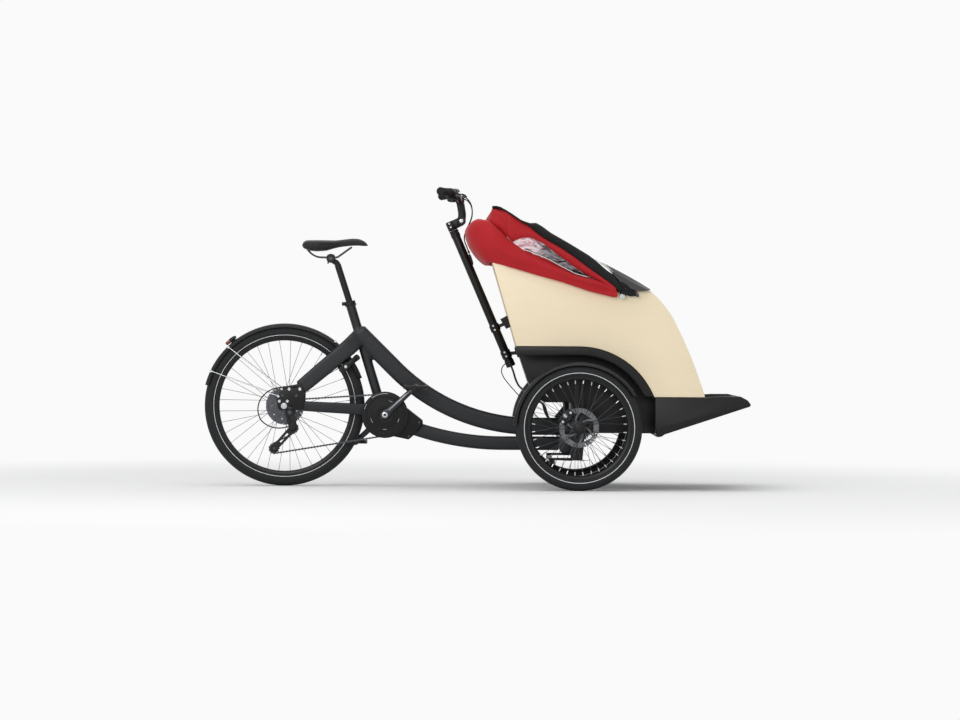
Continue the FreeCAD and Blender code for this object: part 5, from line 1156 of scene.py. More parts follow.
for label, sign in (("front_left", 1), ("front_right", -1), ("rear", 1)):
    low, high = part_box("rotor_" + label)
    centre = np.array([(low.x + high.x) / 2, (low.y + high.y) / 2, (low.z + high.z) / 2])
    outline, holes = rotorPlate(sign)
    plate = cutPlate([outline] + holes, -rotorSettings["thick"] / 2, rotorSettings["thick"] / 2, 0.0002)
    body = "wheel_" + label
    newPiece("rotor_%s_drilled" % label, placed(plate, centre), body, "steel", ("rotor_" + label,), 30,
        finish=rotorSteel)
    faceOut = centre[1] + (0.001 if label != "front_right" else -0.001)
    heads = [boltShape((centre[0] + around(0.02, arm * 60 + 2)[0], faceOut, centre[2] + around(0.02,
        arm * 60 + 2)[1]), 0.0034, 0.0022, 1 if label != "front_right" else -1, 12) for arm in range(6)]
    newPiece("rotor_bolts_" + label, together(heads), body, "steel", finish=darkSteel)

cornerSettings = {"pivot": (0.413, 0.385), "housing": (0.135, 0.232), "housingRadius": 0.022,
    "axle": (0.421, 0.253)}
for side, sign in (("left", 1), ("right", -1)):
    knuckleBody = "knuckle_%s_set" % side
    softened("knuckle_" + side, 0.0018, "black_paint", knuckleBody, 2)
    softened("calliper_" + side, 0.0035, "black_paint", knuckleBody, 2)
    low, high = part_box("calliper_" + side)
    middle = np.array([(low.x + high.x) / 2, 0, (low.z + high.z) / 2])
    out = sign * 0.4366
    direction = np.array([math.cos(math.radians(140)), 0, math.sin(math.radians(140))])
    crossway = np.array([-direction[2], 0, direction[0]])
    heads = [boltShape(middle + crossway * reach + [0, out, 0], 0.0055, 0.003, sign, 18)
        for reach in (-0.024, 0.024)]
    heads += [boltShape(middle + crossway * reach + direction * 0.008 + [0, out, 0], 0.0085, 0.0015, sign,
        28) for reach in (0.0,)]
    newPiece("calliper_bolts_" + side, together(heads), knuckleBody, "steel")
    axleX, axleZ = cornerSettings["axle"]
    capShape = turnedShape(mm([(0, 41.8), (10, 41.5), (16.5, 40.2), (18.8, 37.5), (19.2, 34)]),
        (0, 0, 0), 40)
    capShape = (capShape[0] * [1, sign, 1] + [axleX, sign * 0.46, axleZ], capShape[1])
    newPiece("hub_cap_" + side, capShape, "wheel_front_" + side, "black_plastic", (), 50, False)
    pivotX, pivotY = cornerSettings["pivot"]
    nutLow = turnedShape(mm([(0, 0), (12, 0), (14.5, 2), (14.5, 9.5), (0, 9.5)]), (0, 0, 0), 6)
    nut = nutLow[0][:, [0, 2, 1]] + [pivotX, sign * pivotY, 0.245]
    newPiece("kingpin_nut_" + side, (nut, nutLow[1]), knuckleBody, "steel", (), 30)
    shape = fenderShape(fenderSettings["front"], (axleX, sign * 0.457, axleZ))
    newPiece("front_fender_%s_arched" % side, shape, knuckleBody, "black_plastic",
        ("fender_front_" + side,), 50)
    strut = []
    for back in (-0.01, 0.016):
        foot = np.array([axleX + back * 0.8, sign * 0.4215, axleZ + 0.024])
        strut.append(carried(eased([foot, foot + [0, sign * 0.0005, 0.12], foot + [back * 0.1,
            sign * 0.0005, 0.225], (foot[0], sign * 0.434, axleZ + 0.2605), (foot[0], sign * 0.452,
            axleZ + 0.2622)], 30), oval(0.0012, 0.0042, 12, 3), (0, 1, 0)))
    newPiece("front_fender_stay_" + side, together(strut), knuckleBody, "black_paint")
softened("cross_beam", 0.003, "frame_paint", "chassis", 2)
tieEnds, tieBolts = [], []
for sign in (1, -1):
    spot = np.array([0.313, sign * 0.385, 0.112])
    tieEnds.append(carried([spot + [0, 0, -0.008], spot + [0, 0, -0.006], spot + [0, 0, 0.006], spot + [0,
        0, 0.008]], oval(0.012, 0.012, 24), (1, 0, 0), [0.85, 1, 1, 0.85]))
    tieEnds.append(carried([spot - [0, sign * 0.008, 0], spot - [0, sign * 0.03, 0], spot - [0,
        sign * 0.046, 0]], oval(0.0075, 0.0065, 18), (1, 0, 0)))
    tieBolts.append(carried([spot - [0, sign * 0.04, 0], spot - [0, sign * 0.052, 0]], oval(0.0098,
        0.0098, 6), (1, 0, 0)))
tieRod = rodShape((0.313, -0.345, 0.112), (0.313, 0.345, 0.112), 0.0078, 20)
newPiece("tie_rod_bar", together([tieRod] + tieEnds), "tie_rod_set", "black_paint", ("tie_rod",), 40)
newPiece("tie_rod_nuts", together(tieBolts), "tie_rod_set", "steel", (), 30)
softened("calliper_rear", 0.002, "black_paint", "chassis", 2)
print("front corners made")

# Steering column, stem and handlebar

columnUp = np.array([-0.39634, 0, 0.9181])
columnOut = np.array([0.9181, 0, 0.39634])
columnFoot = np.array([0.146, 0, 0.505])
columnTop = columnFoot + columnUp * 0.6
columnTube = carried([columnFoot, columnFoot + columnUp * 0.002, columnTop - columnUp * 0.002, columnTop],
    oval(0.0175, 0.0175, 36), scale=[0.92, 1, 1, 0.97])
rings = [carried([columnTop + columnUp * low, columnTop + columnUp * (low + 0.001), columnTop + columnUp *
    (high - 0.001), columnTop + columnUp * high], oval(0.0192, 0.0192, 36), scale=[0.95, 1, 1, 0.95])
    for low, high in ((-0.03, -0.012), (-0.01, -0.001))]
rings.append(carried([columnFoot - columnUp * 0.01, columnFoot - columnUp * 0.0085,
    columnFoot + columnUp * 0.018, columnFoot + columnUp * 0.019], oval(0.0192, 0.0192, 36), scale=[0.6,
    1, 1, 0.95]))


def columnAt(height):
    return columnFoot + columnUp * ((height - columnFoot[2]) / columnUp[2])


lowArm, highArm, port = columnAt(0.546), columnAt(0.655), columnAt(0.929)
brackets = [carried([lowArm + columnOut * 0.01, np.array([0.158, 0, 0.5515]),
    np.array([0.1745, 0, 0.553])], oval(0.0075, 0.0072, 20, 4)), carried([highArm + columnOut * 0.01,
    highArm + columnOut * 0.03, highArm + columnOut * 0.0455], oval(0.0074, 0.0072, 20, 4)),
    cutPlate([np.array(mm([(163.5, 572.5), (170.5, 572.5), (183.5, 535.5), (176.5, 535.5)]))], -0.016,
    0.016, 0.0018), cutPlate([np.array(mm([(132, 703.5), (144.5, 661.2), (128.7, 654.5),
    (106.5, 689.7)]))], -0.022, 0.022, 0.003), carried(eased([port - columnUp * 0.022 + columnOut * 0.01,
    port - columnUp * 0.016 + columnOut * 0.0165, port + columnUp * 0.012 + columnOut * 0.0195,
    port + columnUp * 0.022 + columnOut * 0.0185], 12), oval(0.0068, 0.0065, 20, 3), (0, 1, 0))]
for spot, width in ((lowArm, 0.034), (highArm, 0.03)):
    brackets.append(carried([spot - columnUp * width / 2, spot - columnUp * (width / 2 - 0.002),
        spot + columnUp * (width / 2 - 0.002), spot + columnUp * width / 2], oval(0.0208, 0.0208, 36),
        scale=[0.9, 1, 1, 0.9]))
newPiece("steering_column_tube", together([columnTube] + rings + brackets), "chassis", "black_paint",
    ("steering_column",), 40)
pinch = []
for spot in (lowArm, highArm):
    for step in (-0.009, 0.009):
        pinch.append(boltShape(spot + columnUp * step + [-0.004, -0.0205, 0], 0.0042, 0.003, -1, 14))
newPiece("column_pinch_bolts", together(pinch), "chassis", "steel")

# Stem: an upright clamp on the column, a two-part arm with a pivot, and a faceplate round the bar.
pivot = columnTop + [0.033, 0, 0.039]
barSpot = columnTop + [0.026, 0, 0.123]
stemParts = [carried([columnTop + columnUp * 0.001, columnTop + columnUp * 0.003, columnTop + columnUp *
    0.036, columnTop + columnUp * 0.0395, columnTop + columnUp * 0.04], oval(0.0195, 0.0195, 32),
    scale=[0.93, 1, 1, 0.9, 0.5]), carried(eased([columnTop + columnUp * 0.02,
    (columnTop + columnUp * 0.02 + pivot) / 2, pivot], 12), oval(0.0158, 0.019, 24, 3.5)),
    carried(eased([pivot, pivot + [0.002, 0, 0.028], pivot + [-0.002, 0, 0.056], barSpot], 18),
    oval(0.016, 0.0172, 24, 3.5), (0, 1, 0), np.stack([1 + 0.1 * np.linspace(0, 1, 18),
    1 - 0.06 * np.sin(np.linspace(0, np.pi, 18))], -1)), rodShape(pivot - [0, 0.0195, 0], pivot + [0,
    0.0195, 0], 0.0178, 36, 0.002), rodShape(barSpot - [0, 0.0215, 0], barSpot + [0, 0.0215, 0],
    0.0188, 36, 0.002)]
newPiece("stem_forged", together(stemParts), "handlebar_set", "black_paint", ("stem",), 40)
stemBolts = [boltShape(pivot + [0, sign * 0.0195, 0], 0.0085, 0.003, sign, 24) for sign in (1, -1)]
for step in (0.014, 0.03):
    stemBolts.append(boltShape(columnTop + columnUp * step + [-0.006, -0.0175, 0], 0.0042, 0.003, -1, 14))
for height in (-0.012, 0.012):
    for wide in (-0.013, 0.013):
        spot = barSpot + [0.0155, wide, height]
        stemBolts.append(rodShape(spot, spot + [0.004, 0, 0], 0.0034, 12))
newPiece("stem_bolts", together(stemBolts), "handlebar_set", "steel")

# Handlebar: a tube that rises and sweeps back, with ribbed grips, levers on hinged mounts, a shifter and
# a bell.
halfLine = eased([barSpot, barSpot + [0, 0.035, 0], barSpot + [-0.0035, 0.075, 0.0035], barSpot + [-0.011,
    0.115, 0.0145], barSpot + [-0.023, 0.16, 0.0262], barSpot + [-0.044, 0.221, 0.028], barSpot + [-0.078,
    0.3085, 0.028]], 60)
wholeLine = np.vstack([(halfLine * [1, -1, 1])[::-1][:-1], halfLine])
newPiece("handlebar_tube", carried(wholeLine, oval(0.011, 0.011, 28), (0, 0, 1)), "handlebar_set",
    "black_paint", ("handlebar",), 60)
barTip = barSpot + [-0.078, 0.31, 0.028]
gripAlong = np.array([-0.3497, 0.9369, 0.0])
gripSettings = {"length": 0.119, "ribs": 22, "radius": 0.0152, "rib": 0.001, "flare": 0.0015}
share = np.linspace(0, 1, 133)
ribbed = gripSettings["radius"] + gripSettings["rib"] * np.clip(np.sin(share * 2 * np.pi *
    gripSettings["ribs"]) * 2, -1, 1) * ((share > 0.08) & (share < 0.92)) + gripSettings["flare"] * (
    (share < 0.05) | (share > 0.955)) - 0.0012 * np.exp(-((share - 0.5) / 0.3) ** 2)
ribbed[0] = ribbed[-1] = 0.009
gripShapes, clampShapes, leverShapes, boltShapes = [], [], [], []
for sign in (1, -1):
    flip = np.array([1, sign, 1])
    start = barTip - gripAlong * 0.118
    path = start + gripAlong * (share[:, None] * gripSettings["length"])
    gripShapes.append(carried(path * flip, oval(1, 1, 30), (0, 0, 1), ribbed))
    root = barTip - gripAlong * 0.134
    clampShapes.append(carried(np.array([root - gripAlong * 0.008, root - gripAlong * 0.007,
        root + gripAlong * 0.007, root + gripAlong * 0.008]) * flip, oval(0.0145, 0.0145, 28), (0, 0, 1),
        [0.93, 1, 1, 0.93]))
    body = eased([root + [0.006, 0.0, -0.006], root + [0.022, -0.006, -0.011], root + [0.036, -0.01,
        -0.014]], 10)
    clampShapes.append(carried(body * flip, oval(0.0085, 0.0072, 20, 2.8), (0, 0, 1),
        np.linspace(1.15, 0.95, 10)))
    blade = eased([root + [0.037, -0.012, -0.0145], root + [0.039, 0.006, -0.016], root + [0.034, 0.036,
        -0.0185], root + [0.024, 0.068, -0.0185], root + [0.016, 0.09, -0.016]], 30)
    taper = np.stack([np.linspace(1, 0.75, 30), 1 + 0.25 * np.sin(np.linspace(0, np.pi, 30))], -1)
    taper[-1] *= 0.6
    leverShapes.append(carried(blade * flip, oval(0.0036, 0.0046, 16, 2.6), (0, 0, 1), taper))
    boltShapes.append(rodShape((root + [0.036, -0.01, -0.0235]) * flip, (root + [0.036, -0.01, -0.0055]) *
        flip, 0.0035, 14, 0.0006))
# Twist shifter body and cable noses inboard of the right lever, and a small domed bell on the left.
shiftRoot = (barTip - gripAlong * 0.158) * [1, -1, 1]
sideways = gripAlong * [1, -1, 1]
clampShapes.append(carried([shiftRoot - sideways * 0.011, shiftRoot - sideways * 0.009,
    shiftRoot + sideways * 0.009, shiftRoot + sideways * 0.011], oval(0.0155, 0.0155, 28), (0, 0, 1),
    [0.9, 1, 1, 0.9]))
clampShapes.append(carried(eased([shiftRoot + [0.004, 0, -0.012], shiftRoot + [0.01, 0.002, -0.022],
    shiftRoot + [0.02, 0.004, -0.028]], 8), oval(0.012, 0.009, 20, 3), (0, 1, 0)))
bellRoot = barTip - gripAlong * 0.162
bell = turnedShape(mm([(0, 19), (6, 18.5), (12, 16.5), (16.5, 12.5), (18, 7), (18.2, 4)]), (0, 0, 0), 32)
bellPoints = bell[0][:, [0, 2, 1]] + bellRoot + [0.002, 0, 0.0085]
newPiece("grips_ribbed", together(gripShapes), "handlebar_set", "grip_rubber", ("grips",), 60)
newPiece("lever_mounts", together(clampShapes), "handlebar_set", "black_plastic", ("brake_levers",), 40)
newPiece("lever_blades", together(leverShapes), "handlebar_set", "black_paint", (), 50)
newPiece("lever_pins", together(boltShapes), "handlebar_set", "steel")
newPiece("bell", (bellPoints, bell[1]), "handlebar_set", "black_paint", (), 50, False)
# Pods under the bar beside the levers and a small mount over the stem, which fill the cluster at the
# bar's middle.
podShapes = []
for sign in (1, -1):
    podRoot = (barTip - gripAlong * 0.146) * [1, sign, 1]
    podShapes.append(carried(eased([podRoot + [-0.026, 0, -0.018], podRoot + [-0.01, -0.002 * sign,
        -0.021], podRoot + [0.012, -0.004 * sign, -0.022]], 10), oval(0.0125, 0.0085, 20, 3), (0, 1, 0),
        [0.5, 0.85, 1, 1, 1, 1, 1, 0.95, 0.8, 0.5]))
mountLine = eased([barSpot + [-0.032, 0, -0.004], barSpot + [-0.016, 0, 0.014], barSpot + [0.008, 0,
    0.022], barSpot + [0.028, 0, 0.014]], 12)
podShapes.append(carried(mountLine, oval(0.019, 0.0078, 24, 3), (0, 1, 0), [0.6, 0.9, 1, 1, 1, 1, 1, 1, 1,
    0.95, 0.85, 0.55]))
newPiece("bar_pods", together(podShapes), "handlebar_set", "black_plastic", (), 45)
print("handlebar made")
# Passenger box: birch ply sides, black mouldings, cushions

# Wood: fine fibres along X, drawn as a noise stretched that way, with broad soft figure.
woodGroup, given, put = newGroup("woodFibre", [("Vector", vectorSocket, None), ("Colour", colourSocket,
    (1, 1, 1, 1)), ("Spread", floatSocket, 0.06), ("Stretch", vectorSocket, (1.4, 40.0, 22.0))],
    [("Colour", colourSocket), ("Height", floatSocket)])
drawn = addNode(woodGroup, "ShaderNodeVectorMath", {"operation": "MULTIPLY"}, i0=given["Vector"],
    i1=given["Stretch"])
fibres = addNode(woodGroup, "ShaderNodeTexNoise", Vector=drawn.outputs[0], Scale=9.0, Detail=5.0,
    Roughness=0.65, Distortion=0.2)
figure = addNode(woodGroup, "ShaderNodeTexNoise", Vector=drawn.outputs[0], Scale=0.35, Detail=2.0)
fibre = blended(woodGroup, 0.35, fibres.outputs[0], figure.outputs[0], "FLOAT")
fibreAway = reckon(woodGroup, "MULTIPLY", reckon(woodGroup, "SUBTRACT", fibre, 0.5), given["Spread"])
fibreGain = reckon(woodGroup, "MULTIPLY_ADD", fibreAway, 4.0, 1.0)
figured = addNode(woodGroup, "ShaderNodeVectorMath", {"operation": "SCALE"}, i0=given["Colour"],
    Scale=fibreGain)
woodGroup.links.new(figured.outputs[0], put["Colour"])
woodGroup.links.new(fibre, put["Height"])

woodSettings = {"face": (246, 229, 196), "edge": (206, 172, 124), "glue": (150, 112, 72), "ply": 0.0024,
    "spread": 0.035}
material, tree, principled, spots = newFinish("birchPly", {"Coat Weight": 0.25, "Coat Roughness": 0.25,
    "Roughness": 0.42})
faceWood = addNode(tree, "ShaderNodeGroup", {"node_tree": woodGroup}, Vector=spots,
    Colour=linear(*woodSettings["face"]), Spread=woodSettings["spread"])
edgeWood = addNode(tree, "ShaderNodeGroup", {"node_tree": woodGroup}, Vector=spots,
    Colour=linear(*woodSettings["edge"]), Spread=0.12)
axes = addNode(tree, "ShaderNodeSeparateXYZ", i0=spots)
layers = reckon(tree, "FRACT", reckon(tree, "MULTIPLY", axes.outputs[1], 1 / woodSettings["ply"]))
glueLine = reckon(tree, "GREATER_THAN", layers, 0.8)
edgeColour = blended(tree, glueLine, edgeWood.outputs["Colour"], linear(*woodSettings["glue"]))
normals = addNode(tree, "ShaderNodeSeparateXYZ", i0=addNode(tree, "ShaderNodeTexCoord").outputs["Normal"])
flatFace = reckon(tree, "GREATER_THAN", reckon(tree, "ABSOLUTE", normals.outputs[1]), 0.6)
tree.links.new(blended(tree, flatFace, edgeColour, faceWood.outputs["Colour"]),
    principled.inputs["Base Color"])
bump = addNode(tree, "ShaderNodeBump", Height=faceWood.outputs["Height"], Strength=0.06, Distance=0.0003)
tree.links.new(bump.outputs[0], principled.inputs["Normal"])
finishes["wood_panel"] = material

moulded = coated("mouldedBlack", (14, 14, 15), 0.36, {"size": 4, "spread": 0.05}, {"size": 1400,
    "pebble": 0.8, "strength": 0.14}, {"Specular IOR Level": 0.3})
boxSettings = {"woodEdge": 0.0016, "archEdge": 0.006, "boardEdge": 0.006, "wellEdge": 0.005}
softened("box_side_panels", boxSettings["woodEdge"], "wood_panel", "chassis", 2)
softened("box_back", 0.0015, "wood_panel", "chassis", 2)
softened("seat_deck", 0.0015, "wood_panel", "chassis", 2)
softened("wheel_arches", boxSettings["archEdge"], "black_plastic", "chassis", 3, finish=moulded)
softened("footboard", boxSettings["boardEdge"], "black_plastic", "chassis", 3, finish=moulded)
softened("foot_well", boxSettings["wellEdge"], "black_plastic", "chassis", 3, 24, finish=moulded)
print("box made")
# Folded hood: red cloth in two soft folds round the back, with arms along the sides to their hinges

clothSettings = {"red": (178, 24, 32), "threads": 2600.0, "roughness": 0.62, "thick": 0.0014}
material, tree, principled, spots = newFinish("hoodCloth", {"Sheen Weight": 0.06, "Sheen Roughness": 0.5,
    "Specular IOR Level": 0.25})
shade = addNode(tree, "ShaderNodeGroup", {"node_tree": toneGroup}, Vector=spots,
    Colour=linear(*clothSettings["red"]), Size=7.0, Spread=0.1, Roughness=clothSettings["roughness"])
threads = addNode(tree, "ShaderNodeGroup", {"node_tree": weaveGroup}, Vector=spots,
    Threads=clothSettings["threads"])
tree.links.new(blended(tree, reckon(tree, "MULTIPLY", threads.outputs["Shade"], 0.12),
    shade.outputs["Colour"], linear(120, 12, 18)), principled.inputs["Base Color"])
tree.links.new(shade.outputs["Roughness"], principled.inputs["Roughness"])
puckers = addNode(tree, "ShaderNodeTexNoise", Vector=spots, Scale=26.0, Detail=3.0)
relief = blended(tree, 0.75, threads.outputs["Height"], puckers.outputs[0], "FLOAT")
bump = addNode(tree, "ShaderNodeBump", Height=relief, Strength=0.35, Distance=0.0016)
tree.links.new(bump.outputs[0], principled.inputs["Normal"])
finishes["hood_cloth"] = material
blackCloth = coated("blackCloth", (17, 17, 18), 0.72, {"size": 9, "spread": 0.12}, {"size": 1500,
    "pebble": 0.4, "strength": 0.3}, {"Specular IOR Level": 0.25, "Sheen Weight": 0.04})
pipingWhite = coated("pipingWhite", (225, 222, 220), 0.5, {"size": 30, "spread": 0.05}, {"size": 1500,
    "pebble": 0.5, "strength": 0.2}, {})

# Edge lines of the folds along an arm, in millimetres forward of the column's line and above the floor.
hoodLines = {
    "lowerBottom": [(49, 918), (98, 909), (147, 897), (250, 867), (353, 839), (455, 805), (507, 792),
        (558, 780), (576, 783)],
    "lowerTop": [(39, 1083), (75, 1057), (96, 1039), (147, 1001), (188, 972), (250, 949), (301, 926),
        (353, 898), (404, 872), (435, 864), (481, 851), (512, 839), (548, 826), (576, 796)],
    "upperBottom": [(36, 1080), (75, 1062), (111, 1036), (147, 1012), (178, 1016), (224, 1021),
        (270, 1000), (332, 952), (404, 900), (455, 869), (512, 838), (576, 797)],
    "upperTop": [(83, 1144), (111, 1129), (147, 1108), (183, 1084), (219, 1064), (270, 1023), (332, 987),
        (394, 946), (455, 900), (507, 864), (548, 833), (576, 808)],
    "stripTop": [(83, 1147), (111, 1134), (147, 1113), (183, 1088), (191, 1085), (219, 1076),
        (245, 1077), (270, 1062), (301, 1039), (378, 995), (455, 949), (486, 926), (517, 898),
        (550, 872), (574, 839), (590, 812)],
}
hoodSettings = {"arm": 0.427, "tip": 0.572, "corner": 0.075, "rear": -0.0406, "across": 0.3,
    "rows": (64, 20, 26)}


def hoodPath(tip):
    # half the course of the hood's outer side seen from above: along an arm, round the corner, across to
    # the middle
    armRows, cornerRows, rearRows = hoodSettings["rows"]
    arm = np.linspace(tip, hoodSettings["corner"], armRows, endpoint=False)
    swing = np.linspace(0, np.pi / 2, cornerRows, endpoint=False)
    over = np.linspace(hoodSettings["across"], 0, rearRows)
    wide, deep = hoodSettings["arm"] - hoodSettings["across"], hoodSettings[
        "corner"] - hoodSettings["rear"]
    x = np.concatenate([arm, hoodSettings["corner"] - deep * np.sin(swing), np.full(rearRows,
        hoodSettings["rear"])])
    y = np.concatenate([np.full(armRows, hoodSettings["arm"]), hoodSettings["across"] + wide *
        np.cos(swing), over])
    outX = np.concatenate([np.zeros(armRows), -np.sin(swing), -np.ones(rearRows)])
    outY = np.concatenate([np.ones(armRows), np.cos(swing), np.zeros(rearRows)])
    rearness = np.concatenate([np.clip(1 - (arm - hoodSettings["corner"]) / 0.06, 0, 1) * 0.25,
        0.25 + 0.75 * np.sin(swing) ** 1.2, np.ones(rearRows)])
    return x, y, outX, outY, rearness


def spread(profile, count):
    # a line of (out, height share) points as evenly spaced points on a smooth line
    profile = np.asarray(profile, float)
    return eased(np.stack([profile[:, 0], np.zeros(len(profile)), profile[:, 1]], -1), count)[:, [0, 2]]


def hoodFold(tip, bottom, top, armProfile, rearProfile, columns, folds, early=False):
    # each station's profile is mixed from the arm's and the rear's; the arm's is stretched between two
    # edge lines
    x, y, outX, outY, rearness = hoodPath(tip)
    low = np.interp(x * 1000, *np.array(hoodLines[bottom]).T) / 1000
    high = np.interp(x * 1000, *np.array(hoodLines[top]).T) / 1000
    if early:
        rearness = 1 - (1 - rearness) ** 2.2
    arm = spread(armProfile, columns)
    rear = spread(rearProfile, columns)
    out = arm[None, :, 0] * (1 - rearness[:, None]) + rear[None, :, 0] * rearness[:, None]
    height = (low[:, None] + (high - low)[:, None] * arm[None, :, 1]) * (1 - rearness[:,
        None]) + rear[None, :, 1] * rearness[:, None]
    taper = np.clip((tip - x) / 0.05, 0, 1) ** 0.5
    out = out * (0.35 + 0.65 * taper[:, None])
    run = np.concatenate([[0], np.cumsum(np.hypot(np.diff(x), np.diff(y)))])
    share = np.linspace(0, 1, columns)
    for size, along, over, first in folds:
        out = out + size * np.sin(along * run[:, None] + over * share[None, :] + first) * np.sin(np.pi *
            share)[None, :] * taper[:, None]
    half = np.stack([x[:, None] + outX[:, None] * out, y[:, None] + outY[:, None] * out, height], -1)
    mirror = half[::-1][1:] * [1, -1, 1]
    return reliefPushed(np.concatenate([half, mirror]))


def reliefPushed(points):
    # points inside the cone that the lever hoses sweep are moved out to it, away from the column's axis
    away = points - columnFoot
    along = away @ columnUp
    radial = away - along[..., None] * columnUp
    distance = np.linalg.norm(radial, axis=-1)
    need = np.where((along > 0.455) & (along < 0.65), 0.03 + (along - 0.475) / 0.165 * 0.106, 0)
    near = np.clip(need - distance, 0, None)
    return points + radial / np.maximum(distance, 1e-6)[..., None] * near[..., None]


def sheetPiece(name, grid, slotName, nodes=(), thick=None,
        angle=60, finish=None):
    # a sheet from a grid of points, its outer side away from the grid's middle, given its thickness
    # inwards
    rows, columns = grid.shape[:2]
    faces = gridFaces(rows, columns)
    across = np.cross(np.diff(grid, axis=0)[:, :-1], np.diff(grid, axis=1)[:-1])
    outward = grid[:-1, :-1] - np.array([0.2, 0, 0]) - np.array([0, 0, 1]) * (grid[:-1,
        :-1].mean((0, 1))[2])
    if (across * outward).sum() > 0:
        faces = faces[:, ::-1]
    made = newPiece(name, (grid.reshape(-1, 3), [faces]), "chassis", slotName, nodes, angle, False,
        finish=finish)
    wall = made.modifiers.new("wall", "SOLIDIFY")
    wall.thickness, wall.offset = thick or clothSettings["thick"], -1
    settled(made)
    dressed = made.data
    dressed.shade_smooth()
    dressed.set_sharp_from_angle(angle=math.radians(angle))
    surface = sum(face.area for face in dressed.polygons) / 2
    print("%s: one side is %.3f square metres" % (name, surface))
    return made


lowerArm = [(-0.022, 0.1), (-0.016, 0.015), (-0.006, 0.03), (0.001, 0.22), (0.002, 0.5), (-0.002, 0.78),
    (-0.012, 0.96), (-0.03, 1.0), (-0.052, 0.95), (-0.06, 0.8)]
lowerRear = mm([(-100, 930), (-90, 918), (-64, 930), (-20.6, 977), (-5, 1008), (0, 1039), (-12.8, 1066),
    (-40, 1089), (-64, 1094), (-85, 1075)])
lowerFold = hoodFold(0.572, "lowerBottom", "lowerTop", lowerArm, lowerRear, 40, [(0.0055, 8.0, 9.5, 0.6),
    (0.003, 21.0, 5.0, 2.0), (0.0013, 47.0, 3.0, 1.1)])
sheetPiece("hood_lower_fold", lowerFold, "hood_cloth", ("folded_hood",))
upperArm = [(-0.03, -0.15), (-0.016, -0.04), (-0.005, 0.12), (-0.001, 0.42), (-0.004, 0.74),
    (-0.014, 0.97), (-0.034, 1.0), (-0.056, 0.93), (-0.062, 0.6)]
upperRear = mm([(-90, 1060), (-80, 1074), (-82, 1090), (-100, 1115), (-117, 1136), (-128, 1143.5),
    (-147, 1138), (-165, 1110), (-170, 1065)])
upperFold = hoodFold(0.566, "upperBottom", "upperTop", upperArm, upperRear, 34, [(0.0025, 12.0, 7.0, 2.6),
    (0.0018, 27.0, 3.5, 0.3), (0.001, 55.0, 2.0, 1.7)], True)
sheetPiece("hood_upper_fold", upperFold, "hood_cloth")
stripArm = [(-0.02, -0.35), (-0.01, -0.1), (-0.0035, 0.2), (-0.0025, 0.6), (-0.01, 0.96), (-0.028, 1.0),
    (-0.052, 0.93), (-0.06, 0.45)]
stripRear = mm([(-118, 1138.5), (-121, 1142.5), (-125, 1145.5), (-130, 1146.8), (-138, 1145.5),
    (-146, 1142), (-154, 1134), (-160, 1124)])
strip = hoodFold(0.588, "upperTop", "stripTop", stripArm, stripRear, 22, [(0.0016, 18.0, 4.0, 0.4),
    (0.001, 61.0, 2.0, 1.0)], True)
sheetPiece("hood_front_hem", strip, "hood_cloth",
    finish=blackCloth)
print("hood folds made")

# Window film crumpled in the gap between the folds, its bound edge, and the smoked flap at the front.
# The clear film's colour is painted reflection: streaks between near black and pale grey, and
# pinkish-white painted highlights towards the rear of the window.
material, tree, principled, spots = newFinish("crumpledFilm", {"Roughness": 0.16, "Coat Weight": 0.6,
    "Coat Roughness": 0.06})
pulledFilm = addNode(tree, "ShaderNodeVectorMath", {"operation": "MULTIPLY"}, i0=spots,
    i1=(14.0, 30.0, 44.0))
reflectionStreaks = addNode(tree, "ShaderNodeTexNoise", Vector=pulledFilm.outputs[0], Scale=1.0, Detail=4.0,
    Distortion=1.4)
sharp = addNode(tree, "ShaderNodeMapRange", Value=reflectionStreaks.outputs[0], i1=0.44, i2=0.57)
darkReflection = blended(tree, sharp.outputs[0], linear(20, 20, 23), linear(150, 150, 155))
axes = addNode(tree, "ShaderNodeSeparateXYZ", i0=spots)
# painted highlight: the pinkish-white reflection covers the window's rear end and fades out forwards
highlightSide = addNode(tree, "ShaderNodeMapRange", {"interpolation_type": "SMOOTHSTEP"},
    Value=axes.outputs[0], i1=0.3, i2=0.22)
brightReflection = blended(tree, sharp.outputs[0], linear(196, 150, 160), linear(246, 226, 230))
tree.links.new(blended(tree, highlightSide.outputs[0], darkReflection, brightReflection), principled.inputs["Base Color"])
crumpledFilm = material
smokedFilm = coated("smokedFilm", (30, 31, 33), 0.2, {"size": 5, "spread": 0.12}, {"size": 40,
    "pebble": 0.1, "strength": 0.12, "depth": 0.002}, {"Specular IOR Level": 0.6, "Coat Weight": 0.4,
    "Coat Roughness": 0.1})
finishes["hood_film"] = smokedFilm


def lineAt(name, x):
    return np.interp(np.asarray(x) * 1000, *np.array(hoodLines[name]).T) / 1000


def folded(value):
    # a wave with straight flanks and sharp tops, from -1 to 1
    return 4 * np.abs((value % 1) - 0.5) - 1


